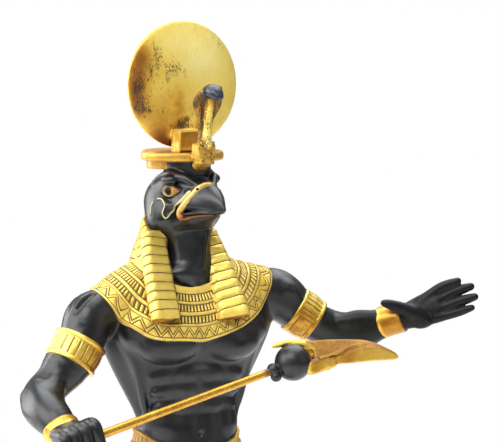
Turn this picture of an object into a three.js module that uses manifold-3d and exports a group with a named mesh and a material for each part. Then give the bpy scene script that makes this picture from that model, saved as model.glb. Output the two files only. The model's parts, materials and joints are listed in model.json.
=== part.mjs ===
// A falcon-headed god standing on a low plinth: a cold-cast resin figurine in black and gold.
// Millimetres, +Z up. The figure faces -Y, its left hand is on the +X side.
// The origin is the centre of the plinth's underside.
import * as THREE from "three";
import Module from "manifold-3d";
import { mergeVertices } from "three/addons/utils/BufferGeometryUtils.js";

const wasm = await Module();
wasm.setup();

// ---------------------------------------------------------------- driving sizes
const GAP = 0.3; // clearance between pieces that touch
const FACET = 0.24; // flats closer than this to the smooth form are merged
const BASE = { x: 84, y: 72, z: 12, step: 3, lip: 4.2, top: 2.4 };
const SOLE = BASE.z + GAP; // height of the soles
const HEAD = { x: -1.2, y: 0.3, yaw: (12 * Math.PI) / 180 };
const DISC = { r: 20.6, z: 264.75, rim: 1.5, dome: 2.6, yaw: (9 * Math.PI) / 180 };
const PLATE = { s: 14.6, f: 10.4, z0: 240.3, z1: 243.8, back: -0.5 };
const ROD_R = 1.35;
const ROD_TAIL = [-95.0, -41.1, 143.6];
const ROD_EXIT = [-42.6, -35.8, 157.6];
const ROD_END = [16.2, -29.85, 173.3];
const BALL = { c: [24.8, -29.7, 176.0], r: 5.9 };
const COLLAR = { c: [-2.2, -1.2, 207.5], r: [31.8, 31.8, 28.0], proud: 0.8 };

// torso: height, half width, front depth, back depth
const TORSO = [
  [140.0, 18.2, 12.6, 14.0],
  [148.5, 17.4, 12.0, 12.6],
  [153.0, 16.3, 11.2, 11.2],
  [157.0, 15.8, 10.8, 10.4],
  [161.0, 16.6, 11.2, 10.6],
  [165.5, 18.6, 12.2, 11.6],
  [170.5, 21.0, 13.2, 13.0],
  [175.5, 23.2, 14.4, 14.4],
  [180.5, 25.2, 15.8, 15.4],
  [185.5, 26.8, 16.4, 15.8],
  [190.5, 28.2, 15.6, 15.6],
  [195.0, 28.0, 13.6, 14.6],
  [199.0, 25.5, 11.4, 12.8],
  [203.0, 20.5, 9.8, 11.4],
  [207.0, 12.0, 8.8, 10.0],
];
// kilt: height, half width, front depth, back depth
const KILT = [
  [92.0, 24.6, 22.0, 21.0],
  [96.0, 24.4, 21.6, 20.8],
  [104.0, 23.8, 20.4, 20.2],
  [114.0, 23.2, 18.8, 19.4],
  [124.0, 22.4, 17.0, 18.2],
  [134.0, 21.0, 15.2, 16.4],
  [142.0, 19.4, 13.9, 14.6],
  [149.0, 17.3, 12.7, 12.8],
  [158.0, 16.2, 11.8, 11.4],
];
const BELT = { side: 152.6, dip: 6.4, width: 5.0 };

// limbs: x, y, z, radius across, radius along the second axis
const ARM_R = [
  [-32.0, -1.2, 193.6, 7.6, 8.0],
  [-35.0, -2.6, 189.6, 7.9, 8.3],
  [-37.6, -4.4, 184.0, 7.5, 7.8],
  [-42.4, -5.6, 177.0, 7.6, 7.7],
  [-47.8, -6.0, 171.0, 6.3, 6.4],
  [-51.9, -6.6, 167.2, 6.2, 6.2],
  [-53.8, -12.0, 165.0, 6.4, 6.3],
  [-54.6, -19.0, 162.4, 5.7, 5.5],
  [-54.2, -26.5, 160.0, 4.8, 4.5],
];
const ARM_L = [
  [31.3, 1.0, 196.6, 7.6, 8.2],
  [34.8, 0.4, 194.2, 7.8, 8.2],
  [38.7, -0.6, 190.2, 7.1, 7.3],
  [45.2, -2.4, 185.8, 6.4, 6.6],
  [50.7, -3.3, 182.9, 6.1, 6.2],
  [55.4, -4.5, 181.3, 6.2, 6.1],
  [59.1, -7.5, 182.5, 6.2, 6.1],
  [63.5, -11.8, 184.9, 5.3, 5.1],
  [68.6, -16.4, 187.2, 4.3, 4.1],
];
const ARMBAND_R = { a: [-38.0, -4.7, 183.6], b: [-42.8, -5.9, 176.1], r0: 8.4, r1: 8.3, lip: 0.7 };
const ARMBAND_L = { a: [38.6, -0.5, 190.3], b: [45.3, -2.4, 185.7], r0: 7.5, r1: 6.9, lip: 0.5 };
const CUFF_R = { a: [-54.2, -25.4, 160.4], b: [-53.9, -30.8, 158.7], r0: 5.9, r1: 5.5, lip: 0.4 };
const CUFF_L = { a: [65.3, -13.1, 186.3], b: [70.4, -17.7, 188.2], r0: 4.9, r1: 4.7, lip: 0.3 };
const LEG_L = [
  [9.5, -1.0, 124.0, 11.0, 12.0],
  [10.6, -4.0, 108.0, 10.2, 11.2],
  [11.6, -7.2, 92.0, 8.6, 9.6],
  [12.1, -9.0, 79.0, 6.9, 7.4],
  [12.3, -7.8, 70.0, 6.5, 7.3],
  [12.6, -6.0, 58.0, 7.2, 8.0],
  [12.8, -5.8, 44.0, 5.6, 6.2],
  [12.9, -5.6, 30.0, 4.0, 4.6],
  [12.9, -5.6, 21.0, 3.9, 4.6],
];
const LEG_R = [
  [-9.5, 1.0, 124.0, 11.0, 12.0],
  [-10.4, 1.6, 108.0, 10.2, 11.2],
  [-11.2, 2.2, 92.0, 8.6, 9.6],
  [-11.8, 3.0, 79.0, 6.9, 7.4],
  [-12.1, 5.6, 70.0, 6.5, 7.3],
  [-12.6, 9.6, 58.0, 7.2, 8.0],
  [-13.0, 13.6, 44.0, 5.6, 6.2],
  [-13.4, 16.6, 30.0, 4.0, 4.6],
  [-13.5, 17.6, 21.0, 3.9, 4.6],
];
// feet: ankle x, ankle y, turn-out, length
const FOOT_L = { x: 12.9, y: -5.6, turn: 0.1, len: 31 };
const FOOT_R = { x: -13.5, y: 17.6, turn: -0.24, len: 31 };

// open hand: each finger is knuckle, middle, tip and its radius
const HAND_L = {
  wrist: [69.0, -17.0, 186.8],
  fingers: [
    [[75.9, -21.3, 193.4], [80.6, -23.4, 197.2], [85.6, -26.3, 199.8], 1.75],
    [[79.0, -23.2, 192.5], [84.6, -26.0, 195.9], [89.4, -29.2, 198.0], 1.8],
    [[79.6, -24.4, 190.3], [85.2, -28.0, 193.0], [89.8, -31.4, 194.8], 1.75],
    [[79.0, -25.2, 187.6], [84.4, -28.8, 189.5], [88.2, -31.8, 191.2], 1.5],
  ],
  thumb: [[72.6, -21.2, 189.6], [66.4, -23.4, 191.0], [61.2, -23.9, 193.0], 1.9],
};

// ---------------------------------------------------------------- helpers
const V = (x, y, z) => new THREE.Vector3(x, y, z);
const P = (a) => V(a[0], a[1], a[2]);
const sq = (x) => x * x;
const gauss = (x, c, s) => Math.exp(-sq((x - c) / s));

// smooth interpolation of a table whose first column is the height
function table(rows, z) {
  const n = rows.length;
  if (z <= rows[0][0]) return rows[0].slice(1);
  if (z >= rows[n - 1][0]) return rows[n - 1].slice(1);
  let i = 0;
  while (z > rows[i + 1][0]) i++;
  const p = rows[Math.max(i - 1, 0)], a = rows[i], b = rows[i + 1], q = rows[Math.min(i + 2, n - 1)];
  const h = b[0] - a[0], t = (z - a[0]) / h;
  return a.slice(1).map((_, k) => {
    const j = k + 1;
    const m0 = i > 0 ? ((b[j] - p[j]) / (b[0] - p[0])) * h : b[j] - a[j];
    const m1 = i + 2 < n ? ((q[j] - a[j]) / (q[0] - a[0])) * h : b[j] - a[j];
    const t2 = t * t, t3 = t2 * t;
    return (2 * t3 - 3 * t2 + 1) * a[j] + (t3 - 2 * t2 + t) * m0 + (-2 * t3 + 3 * t2) * b[j] + (t3 - t2) * m1;
  });
}

// a closed geometry as a solid, turned to face outwards
function solid(geometry) {
  const g = new THREE.BufferGeometry();
  g.setAttribute("position", geometry.getAttribute("position").clone());
  if (geometry.index) g.setIndex(geometry.index.clone());
  const m = mergeVertices(g, 1e-3);
  const tri = [];
  const id = m.index.array;
  for (let i = 0; i < id.length; i += 3)
    if (id[i] !== id[i + 1] && id[i + 1] !== id[i + 2] && id[i] !== id[i + 2]) tri.push(id[i], id[i + 1], id[i + 2]);
  const p = m.attributes.position.array;
  let vol = 0;
  for (let i = 0; i < tri.length; i += 3) {
    const [a, b, c] = [tri[i] * 3, tri[i + 1] * 3, tri[i + 2] * 3];
    vol += p[a] * (p[b + 1] * p[c + 2] - p[b + 2] * p[c + 1]) - p[a + 1] * (p[b] * p[c + 2] - p[b + 2] * p[c]) + p[a + 2] * (p[b] * p[c + 1] - p[b + 1] * p[c]);
  }
  if (vol < 0) for (let i = 0; i < tri.length; i += 3) [tri[i + 1], tri[i + 2]] = [tri[i + 2], tri[i + 1]];
  return new wasm.Manifold(new wasm.Mesh({ numProp: 3, vertProperties: new Float32Array(p), triVerts: new Uint32Array(tri) }));
}

// a skin through rings of points, closed at both ends: the rows of a sphere, moved to the rings
function skin(rings, start, end) {
  const seg = rings[0].length;
  const g = new THREE.SphereGeometry(1, seg, rings.length + 1);
  const pos = g.getAttribute("position");
  for (let r = 0; r <= rings.length + 1; r++)
    for (let c = 0; c <= seg; c++) {
      const v = r === 0 ? start : r === rings.length + 1 ? end : rings[r - 1][c % seg];
      pos.setXYZ(r * (seg + 1) + c, v.x, v.y, v.z);
    }
  return solid(g);
}

// a limb: oval sections along a smooth curve, with domed ends
function limb(stations, side, seg = 12, n = 14, capA = 0.7, capB = 0.7) {
  const line = new THREE.CatmullRomCurve3(stations.map((s) => V(s[0], s[1], s[2])), false, "centripetal");
  const radii = new THREE.CatmullRomCurve3(stations.map((s, i) => V(s[3], s[4], i)), false, "catmullrom", 0.5);
  const rings = [];
  const ring = (t, shrink, push) => {
    const c = line.getPoint(t), tan = line.getTangent(t), r = radii.getPoint(t);
    const e1 = side.clone().addScaledVector(tan, -side.dot(tan)).normalize();
    const e2 = tan.clone().cross(e1);
    c.addScaledVector(tan, push * Math.min(r.x, r.y));
    const out = [];
    for (let k = 0; k < seg; k++) {
      const a = (k / seg) * 2 * Math.PI;
      out.push(c.clone().addScaledVector(e1, Math.cos(a) * r.x * shrink).addScaledVector(e2, Math.sin(a) * r.y * shrink));
    }
    return { out, c, tan, r: Math.min(r.x, r.y) };
  };
  rings.push(ring(0, 0.72, -0.7 * capA).out);
  for (let i = 0; i <= n; i++) rings.push(ring(i / n, 1, 0).out);
  rings.push(ring(1, 0.72, 0.7 * capB).out);
  const a = ring(0, 1, -capA), b = ring(1, 1, capB);
  return skin(rings, a.c, b.c);
}

// a straight band round a limb between two points, its rims standing proud
function band({ a, b, r0, r1, lip }, seg = 20) {
  const A = P(a), B = P(b), axis = B.clone().sub(A), len = axis.length();
  axis.normalize();
  const profile = [[0, 0], [r0 - 0.2, 0], [r0, 0.25], [r0, lip * 1.6], [r0 - 0.35, lip * 1.6 + 0.2], [r1 - 0.35, len - lip * 1.6 - 0.2], [r1, len - lip * 1.6], [r1, len - 0.25], [r1 - 0.2, len], [0, len]];
  const g = new THREE.LatheGeometry(profile.map(([r, h]) => new THREE.Vector2(r, h)), seg);
  g.applyQuaternion(new THREE.Quaternion().setFromUnitVectors(V(0, 1, 0), axis));
  g.translate(A.x, A.y, A.z);
  return solid(g);
}

const ellipsoid = (c, r, turn = 0, w = 16, h = 10) => {
  const g = new THREE.SphereGeometry(1, w, h);
  g.rotateX(Math.PI / 2);
  g.scale(r[0], r[1], r[2]);
  g.rotateZ(turn);
  g.translate(c[0], c[1], c[2]);
  return solid(g);
};
const join = (list) => list.reduce((a, b) => a.add(b));
// without the small enclosed pockets left between overlapping forms
const filled = (s) => join(s.decompose().filter((c) => c.volume() > 0)).asOriginal();

// head frame: s to the figure's left, f forward, z up
const hs = V(Math.cos(HEAD.yaw), Math.sin(HEAD.yaw), 0);
const hf = V(Math.sin(HEAD.yaw), -Math.cos(HEAD.yaw), 0);
const H = (s, f, z) => V(HEAD.x, HEAD.y, z).addScaledVector(hs, s).addScaledVector(hf, f);

// ---------------------------------------------------------------- torso, collar, neck
function torsoPoint(th, z, proud = 0) {
  const [a, bf, bb] = table(TORSO, z);
  const s = Math.sin(th), c = Math.cos(th);
  const e = 2 / 2.35;
  let x = a * Math.sign(s) * Math.abs(s) ** e;
  let y = -(c > 0 ? bf : bb) * Math.sign(c) * Math.abs(c) ** e;
  let out = proud;
  if (c > 0) {
    const m = Math.min(1, c * 1.6);
    for (const k of [-1, 1]) out += m * 1.9 * gauss(x, k * 10.5, 7.5) * gauss(z, 181.5, 6.4);
    for (const k of [-1, 1]) for (const h of [168.5, 162, 155.5]) out += m * 0.7 * gauss(x, k * 4, 3.2) * gauss(z, h, 2.8);
    out -= m * 0.9 * gauss(x, 0, 1.9) * gauss(z, 172, 20);
  } else {
    const m = Math.min(1, -c * 1.6);
    for (const k of [-1, 1]) out += m * 1.6 * gauss(x, k * 12, 7) * gauss(z, 187, 8);
    out -= m * 1.3 * gauss(x, 0, 2.6) * gauss(z, 170, 26);
  }
  const n = V(x / sq(a), y / sq(c > 0 ? bf : bb), 0).normalize();
  return V(x + n.x * out, y + n.y * out, z);
}
function torso(proud, zs, seg = 28) {
  const rings = zs.map((z) => Array.from({ length: seg }, (_, k) => torsoPoint((k / seg) * 2 * Math.PI, z, proud)));
  return skin(rings, V(0, 0, zs[0]), V(0, 0, zs[zs.length - 1] + 0.5));
}
const torsoZ = [140, 147, 152, 156, 160, 164, 168, 171.5, 174.5, 177.5, 181, 184.5, 188, 191.5, 195, 198, 201, 204, 207];
const chest = torso(0, torsoZ);
const collarRing = ellipsoid(COLLAR.c, COLLAR.r, 0, 40, 20);

// the slopes from the neck to the shoulders, the left one raised: x, y, z, radii
const SLOPE_R = [[-7.0, 2.0, 203.4, 6.6, 8.0], [-14.0, 2.0, 200.8, 6.6, 8.6], [-21.0, 1.2, 197.6, 6.6, 9.0], [-28.0, 0.2, 193.2, 6.6, 8.8], [-31.0, -0.6, 191.8, 7.0, 8.2]];
const SLOPE_L = [[7.0, 2.4, 203.8, 6.2, 8.0], [15.0, 2.6, 200.4, 6.4, 8.6], [22.0, 2.4, 198.6, 6.4, 9.0], [28.0, 2.2, 197.2, 6.5, 8.8], [32.5, 2.0, 196.0, 7.2, 8.2]];
const slope = (rows, out) => limb(rows.map(([x, y, z, r, q]) => [x, y, z, r + out, q + out]), V(0, 0, 1), 14, 8, 0.3, 0.6);
const shoulders = [slope(SLOPE_R, 0), slope(SLOPE_L, 0)];
const yokeTop = torso(COLLAR.proud, torsoZ.filter((z) => z >= 171).map((z) => z));
const yoke = join([
  yokeTop,
  slope(SLOPE_R, COLLAR.proud),
  slope(SLOPE_L, COLLAR.proud),
]).intersect(collarRing);

const neck = limb([[0.2, -1.4, 199, 9.6, 9.2], [0.0, -1.8, 206, 8.9, 8.7], [0.2, -2.2, 213, 8.9, 8.9], [0.4, -2.4, 222, 9.6, 10.4]], V(1, 0, 0), 14, 5, 0.2, 0.2);

// ---------------------------------------------------------------- falcon head
const skull = (() => {
  const g = new THREE.SphereGeometry(1, 18, 12);
  g.rotateX(Math.PI / 2);
  const pos = g.getAttribute("position");
  for (let i = 0; i < pos.count; i++) {
    const x = pos.getX(i), y = pos.getY(i), z = pos.getZ(i); // y is forward here
    const brow = 1.6 * gauss(z, 0.72, 0.24) * gauss(Math.abs(x), 0.72, 0.3) * gauss(y, 0.55, 0.35);
    const v = H(x * (10.7 + brow * 0.8), -1.8 + y * 12.6 + brow * 0.6, 226.4 + z * (z > 0 ? 10.3 : 10.2));
    pos.setXYZ(i, v.x, v.y, v.z);
  }
  return solid(g);
})();
// beak: distance forward, culmen height, lower edge, half width
const BEAK = [
  [5.6, 236.2, 216.0, 8.9],
  [9.4, 235.2, 216.0, 8.1],
  [12.8, 233.7, 216.6, 6.9],
  [15.8, 232.4, 218.2, 5.6],
  [18.4, 231.5, 220.8, 4.5],
  [20.9, 229.9, 222.9, 3.0],
  [22.9, 227.6, 224.0, 1.5],
];
const beak = (() => {
  const seg = 14;
  const rings = BEAK.map(([f, top, low, w]) =>
    Array.from({ length: seg }, (_, k) => {
      const a = (k / seg) * 2 * Math.PI, c = Math.cos(a), s = Math.sin(a);
      const wide = w * (s > 0 ? 0.62 + 0.38 * (1 - s) : 1 - 0.25 * -s);
      return H(c * wide, f, (top + low) / 2 + (s * (top - low)) / 2);
    }),
  );
  return skin(rings, H(0, 4.6, 227), H(0, 23.8, 225.2));
})();

// ---------------------------------------------------------------- wig: hood, flared back and two lappets
const hood = ellipsoid([H(0, -5.0, 0).x, H(0, -5.0, 0).y, 219.0], [10.2, 10.2, 8.6], HEAD.yaw, 16, 10);
const WIG_X = -1.6;
const WIG = [
  [197.0, 18.4, 11.0, 16.6, 2.4],
  [201.0, 17.6, 11.0, 15.8, 2.6],
  [205.5, 16.6, 10.8, 14.8, 2.8],
  [210.0, 15.2, 10.2, 14.0, 3.0],
  [214.5, 13.4, 9.0, 13.0, 2.8],
  [219.0, 11.4, 6.4, 12.2, 2.4],
  [223.0, 9.6, 4.6, 11.6, 2.0],
];
const wigBack = (() => {
  const seg = 22;
  const rings = WIG.map(([z, a, bf, bb, cy]) =>
    Array.from({ length: seg }, (_, k) => {
      const t = (k / seg) * 2 * Math.PI, c = Math.cos(t);
      // the front of the wig is open, so its sides end beside the neck
      const front = c > 0 ? Math.max(0, 1 - 1.3 * c * c) : 1;
      return V(WIG_X + a * Math.sin(t), cy - (c > 0 ? bf * front : bb) * c, z);
    }),
  );
  return skin(rings, V(WIG_X, 3, 196.5), V(WIG_X, 4, 224.5));
})();
// lappets: centre x, centre y, height, half width, half thickness
const LAPPET_R = [[-11.6, -1.6, 219.5, 3.2, 2.0], [-13.2, -4.8, 212.5, 4.6, 2.4], [-13.8, -8.8, 205.0, 4.9, 2.5], [-14.0, -13.0, 198.0, 5.2, 2.6], [-14.2, -16.4, 192.4, 5.2, 2.4], [-14.2, -17.3, 190.2, 5.2, 2.1]];
const LAPPET_L = [[7.4, -1.6, 219.5, 2.4, 2.0], [8.0, -4.8, 212.5, 3.2, 2.3], [8.4, -8.8, 205.0, 4.3, 2.5], [9.0, -13.0, 198.0, 4.9, 2.6], [9.6, -16.4, 192.4, 5.0, 2.4], [9.7, -17.3, 190.2, 5.0, 2.1]];
function lappet(rows) {
  const seg = 12;
  const line = new THREE.CatmullRomCurve3(rows.map((r) => V(r[0], r[1], r[2])));
  const size = new THREE.CatmullRomCurve3(rows.map((r, i) => V(r[3], r[4], i)), false, "catmullrom", 0.5);
  const n = 9;
  const rings = Array.from({ length: n + 1 }, (_, i) => {
    const t = i / n, c = line.getPoint(t), r = size.getPoint(t), tan = line.getTangent(t);
    const across = V(1, -0.35 * Math.sign(c.x) * -1, 0).normalize();
    const e1 = across.clone().addScaledVector(tan, -across.dot(tan)).normalize();
    const e2 = tan.clone().cross(e1);
    return Array.from({ length: seg }, (_, k) => {
      const a = (k / seg) * 2 * Math.PI, x = Math.cos(a), y = Math.sin(a);
      return c.clone().addScaledVector(e1, r.x * Math.sign(x) * Math.abs(x) ** 0.6).addScaledVector(e2, r.y * Math.sign(y) * Math.abs(y) ** 0.7);
    });
  });
  return skin(rings, line.getPoint(0), line.getPoint(1));
}

// ---------------------------------------------------------------- crown: plate, block, sun disc, cobra
function headLathe(profile, seg) {
  return new THREE.LatheGeometry(profile.map(([r, h]) => new THREE.Vector2(r, h)), seg);
}
const plate = (() => {
  const g = headLathe([[0, 0], [0.93, 0], [1, 0.6], [1, PLATE.z1 - PLATE.z0 - 0.7], [0.94, PLATE.z1 - PLATE.z0], [0, PLATE.z1 - PLATE.z0]], 30);
  g.rotateX(Math.PI / 2);
  g.scale(PLATE.s, PLATE.f, 1);
  g.rotateZ(HEAD.yaw);
  const c = H(0, -PLATE.back, PLATE.z0);
  g.translate(c.x, c.y, c.z);
  return solid(g);
})();
const ring = (() => {
  const g = headLathe([[0, 0], [9.2, 0], [10.4, 0.9], [10.4, 3.0], [0, 3.6]], 24);
  g.rotateX(Math.PI / 2);
  const c = H(0, 0.6, 237.4);
  g.translate(c.x, c.y, c.z);
  return solid(g);
})();
const crest = ellipsoid([H(0, 3.4, 0).x, H(0, 3.4, 0).y, 236.6], [9.0, 9.6, 4.6], HEAD.yaw, 18, 8);
const disc = (() => {
  const r = DISC.r;
  const g = headLathe([[0, -DISC.rim / 2 - 1.2], [r * 0.5, -DISC.rim / 2 - 0.9], [r - 0.5, -DISC.rim / 2], [r, -DISC.rim / 2 + 0.4], [r, DISC.rim / 2 - 0.3], [r - 0.5, DISC.rim / 2], [r * 0.8, DISC.rim / 2 + DISC.dome * 0.36], [r * 0.5, DISC.rim / 2 + DISC.dome * 0.76], [0, DISC.rim / 2 + DISC.dome]], 40);
  // the lathe's axis is +Y and its dome faces forward
  g.rotateZ(Math.PI);
  g.rotateZ(DISC.yaw);
  const c = H(0, 0.4, DISC.z);
  g.translate(c.x, c.y, c.z);
  return solid(g);
})();
const box = (s, f, z, size) => {
  const g = new THREE.BoxGeometry(size[0], size[1], size[2]);
  g.rotateZ(HEAD.yaw);
  const c = H(s, f, z);
  g.translate(c.x, c.y, c.z);
  return solid(g);
};
const block = box(0, 6.7, 246.9, [7.8, 9.2, 6.8]);
// cobra: forward distance, height, half width, half thickness
const COBRA = [
  [10.8, 237.8, 2.6, 1.8],
  [12.0, 240.4, 3.2, 2.4],
  [12.0, 243.6, 3.1, 2.3],
  [11.7, 247.0, 2.4, 1.9],
  [12.0, 250.8, 3.6, 1.6],
  [12.8, 254.2, 5.0, 1.5],
  [13.6, 257.6, 5.3, 1.5],
  [14.3, 260.4, 4.3, 1.6],
  [15.1, 262.3, 2.8, 1.8],
  [16.6, 263.2, 2.3, 1.9],
  [18.4, 262.4, 1.8, 1.5],
];
const cobra = limb(COBRA.map(([f, z, w, t]) => { const v = H(0, f, z); return [v.x, v.y, v.z, w, t]; }), hs, 10, 14, 0.8, 0.8);
const cobraSpine = box(0, 6.9, 252.4, [2.2, 10.4, 6.4]);

// ---------------------------------------------------------------- arms and hands
const armR = limb(ARM_R, V(1, 0, 0.3), 14, 15, 0.6, 0.2);
const armL = limb(ARM_L, V(0, 0.3, 1), 14, 15, 0.6, 0.2);
const finger = (pts, r, seg = 8) => {
  const st = pts.map((p, i) => [p[0], p[1], p[2], r * (i === pts.length - 1 ? 0.82 : 1), r * (i === pts.length - 1 ? 0.82 : 1)]);
  return limb(st, V(0.3, -0.8, 0.5), seg, Math.max(3, (pts.length - 1) * 2), 0.5, 0.9);
};
const openHand = (() => {
  const w = P(HAND_L.wrist);
  const knuckles = HAND_L.fingers.map((f) => P(f[0]));
  const mid = knuckles[0].clone().add(knuckles[3]).multiplyScalar(0.5);
  const across = knuckles[0].clone().sub(knuckles[3]).normalize();
  const reach = mid.clone().addScaledVector(P(HAND_L.fingers[1][1]).sub(knuckles[1]), 0.22);
  const palm = limb([[w.x - 1.6, w.y + 1.2, w.z - 0.4, 3.9, 3.2], [w.x + 2.0, w.y - 1.0, w.z + 0.8, 4.4, 2.7], [(w.x + mid.x) / 2 + 0.6, (w.y + mid.y) / 2, (w.z + mid.z) / 2, 5.0, 2.4], [reach.x, reach.y, reach.z, 4.9, 1.9]], across, 12, 6, 0.3, 0.6);
  return join([palm, ...HAND_L.fingers.map(([a, b, c, r]) => finger([a, b, c], r)), finger(HAND_L.thumb.slice(0, 3), HAND_L.thumb[3])]);
})();

// closed hand round the rod: fingers lie side by side along it
const rodDir = P(ROD_END).sub(P(ROD_EXIT)).normalize();
const front = V(0, -1, 0).addScaledVector(rodDir, rodDir.y).normalize();
const upward = rodDir.clone().cross(front).multiplyScalar(-1).normalize();
if (upward.z < 0) upward.multiplyScalar(-1);
const F = (t, n1, n2) => P(ROD_EXIT).addScaledVector(rodDir, t).addScaledVector(front, n1).addScaledVector(upward, n2);
const FIST = { pitch: 3.6, first: -3.6, r: 1.95 };
const closedHand = (() => {
  const parts = [];
  for (let i = 0; i < 4; i++) {
    const t = FIST.first - i * FIST.pitch, r = FIST.r - (i === 3 ? 0.25 : 0);
    const path = [[-1.6, 4.0], [2.4, 3.9], [3.7, -2.6], [0.4, -4.2], [-2.6, -2.8]].map(([a, b]) => F(t, a, b));
    parts.push(finger(path.map((p) => [p.x, p.y, p.z]), r, 8));
  }
  const c = FIST.first - 1.5 * FIST.pitch;
  const a = F(c, -4.6, 5.2), b = F(c, -1.2, 3.2), d = F(c, -3.4, -1.0);
  parts.push(limb([[-54.2, -26.4, 160.2, 4.4, 3.8], [a.x, a.y, a.z, 5.8, 3.2], [b.x, b.y, b.z, 6.9, 2.6]], rodDir, 12, 5, 0.3, 0.5));
  parts.push(limb([[a.x, a.y, a.z - 0.5, 5.8, 2.6], [d.x, d.y, d.z, 6.6, 2.2]], rodDir, 10, 3, 0.4, 0.4));
  const th = [F(-3.0, -5.0, 3.2), F(-0.6, -3.8, -1.8), F(-1.6, 0.4, -5.0), F(-4.0, 3.0, -4.6)].map((p) => [p.x, p.y, p.z]);
  parts.push(finger(th, 1.9, 8));
  return join(parts);
})();

// ---------------------------------------------------------------- kilt, legs, feet
const beltTop = (c) => BELT.side - (c > 0 ? BELT.dip : -0.8) * c * c;
const kilt = (() => {
  const seg = 40, n = 7;
  const rings = Array.from({ length: n + 1 }, (_, i) =>
    Array.from({ length: seg }, (_, k) => {
      const th = (k / seg) * 2 * Math.PI, s = Math.sin(th), c = Math.cos(th);
      const topZ = beltTop(c);
      const z = 92 + ((topZ - 92) * i) / n;
      const [a, bf, bb] = table(KILT, z);
      const pleat = i < n - 1 ? (k % 2 ? -0.45 : 0.25) * (1 - i / n) : 0;
      const e = 2 / 2.2;
      return V((a + pleat) * Math.sign(s) * Math.abs(s) ** e, -((c > 0 ? bf : bb) + pleat) * Math.sign(c) * Math.abs(c) ** e, z);
    }),
  );
  return skin(rings, V(0, -1, 92), V(0, 0, 150));
})();
const belt = (() => {
  const seg = 36;
  const ring = (dz, out) =>
    Array.from({ length: seg }, (_, k) => {
      const th = (k / seg) * 2 * Math.PI, s = Math.sin(th), c = Math.cos(th);
      const z = beltTop(c) + 0.3 - dz;
      const [a, bf, bb] = table(KILT, z);
      const e = 2 / 2.2;
      return V((a + out) * Math.sign(s) * Math.abs(s) ** e, -((c > 0 ? bf : bb) + out) * Math.sign(c) * Math.abs(c) ** e, z);
    });
  return skin([ring(BELT.width, 0), ring(BELT.width, 0.9), ring(0, 0.9), ring(0, 0)], V(0, 0, 147), V(0, 0, 151));
})();
// the stiff front panel of the kilt
const apron = (() => {
  const rows = [[147, 3.2, 13.4], [138, 4.2, 15.9], [126, 5.4, 18.3], [112, 6.6, 20.9], [100, 7.6, 22.9], [94.5, 8.0, 23.6]];
  const rings = rows.map(([z, w, y]) => [V(-w, -y + 0.6, z), V(-w * 0.5, -y - 0.1, z), V(0, -y - 0.3, z), V(w * 0.5, -y - 0.1, z), V(w, -y + 0.6, z), V(w, -y + 6, z), V(-w, -y + 6, z)]);
  return skin(rings, V(0, -10, 147), V(0, -20, 94.5));
})();
const legL = limb(LEG_L, V(1, 0, 0), 14, 14, 0.1, 0.2);
const legR = limb(LEG_R, V(1, 0, 0), 14, 14, 0.1, 0.2);
function foot({ x, y, turn, len }) {
  // along the foot: position, half width, height
  const rows = [[-0.22, 2.6, 4.4], [-0.17, 4.0, 8.6], [-0.04, 4.3, 11.4], [0.12, 4.3, 9.6], [0.34, 4.9, 6.2], [0.52, 5.7, 4.4], [0.64, 5.6, 3.4], [0.74, 4.6, 2.6], [0.78, 3.0, 1.8]];
  const dir = V(Math.sin(turn), -Math.cos(turn), 0), side = V(Math.cos(turn), Math.sin(turn), 0);
  const seg = 12;
  const rings = rows.map(([t, w, h]) =>
    Array.from({ length: seg }, (_, k) => {
      const a = (k / seg) * 2 * Math.PI, s = Math.sin(a), c = Math.cos(a);
      const lift = s > 0 ? s ** 0.9 * h : 0;
      return V(x, y, SOLE + lift).addScaledVector(dir, t * len).addScaledVector(side, c * w * (s < 0 ? 1 : 1 - 0.25 * s) * (s < -0.1 ? 0.94 : 1));
    }),
  );
  // the row at the sole is flat, so the section's lower half lies in one plane
  const at = (t) => V(x, y, SOLE + 1).addScaledVector(dir, t * len);
  return skin(rings, at(-0.235), at(0.8));
}

// ---------------------------------------------------------------- the figure, one casting
let figure = join([
  chest, ...shoulders, yoke, neck, skull, beak, ring, crest, hood, wigBack, lappet(LAPPET_R), lappet(LAPPET_L),
  plate, disc, block, cobra, cobraSpine,
  armR, armL, band(ARMBAND_R), band(ARMBAND_L), band(CUFF_R), band(CUFF_L), openHand, closedHand,
  kilt, belt, apron, legL, legR,
]);
// soles are cut flat just above the plinth
const slab = solid(new THREE.BoxGeometry(200, 200, 40).translate(0, 0, SOLE - 20));
figure = figure.add(foot(FOOT_L)).add(foot(FOOT_R)).subtract(slab);

// the staff's rod runs through the closed hand in a hole of its own
function rodSolid(r, a, b, seg) {
  const A = P(a), B = P(b), d = B.clone().sub(A);
  const g = new THREE.CylinderGeometry(r, r, d.length(), seg);
  g.applyQuaternion(new THREE.Quaternion().setFromUnitVectors(V(0, 1, 0), d.clone().normalize()));
  const m = A.add(B).multiplyScalar(0.5);
  g.translate(m.x, m.y, m.z);
  return solid(g);
}
const along = (t) => { const p = P(ROD_EXIT).addScaledVector(rodDir, t); return [p.x, p.y, p.z]; };
const tailT = -56;
figure = filled(filled(filled(figure).subtract(rodSolid(ROD_R + GAP, along(-30), along(12), 14))).simplify(FACET));

// ---------------------------------------------------------------- staff
// rod with a small forked foot at its lower end
const rodLen = P(ROD_END).distanceTo(P(ROD_EXIT));
let rod = rodSolid(ROD_R, along(tailT + 6), along(rodLen), 12);
for (const k of [-1, 1]) {
  const pts = [[tailT + 8.5, 0, 0], [tailT + 5.5, 0.4, k * 1.3], [tailT + 2.5, 0.2, k * 2.2], [tailT, 0, k * 2.4]].map(([t, a, b]) => F(t, a, b));
  rod = rod.add(limb(pts.map((p) => [p.x, p.y, p.z, 0.95, 0.95]), front, 8, 6, 0.5, 0.5));
}

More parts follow.
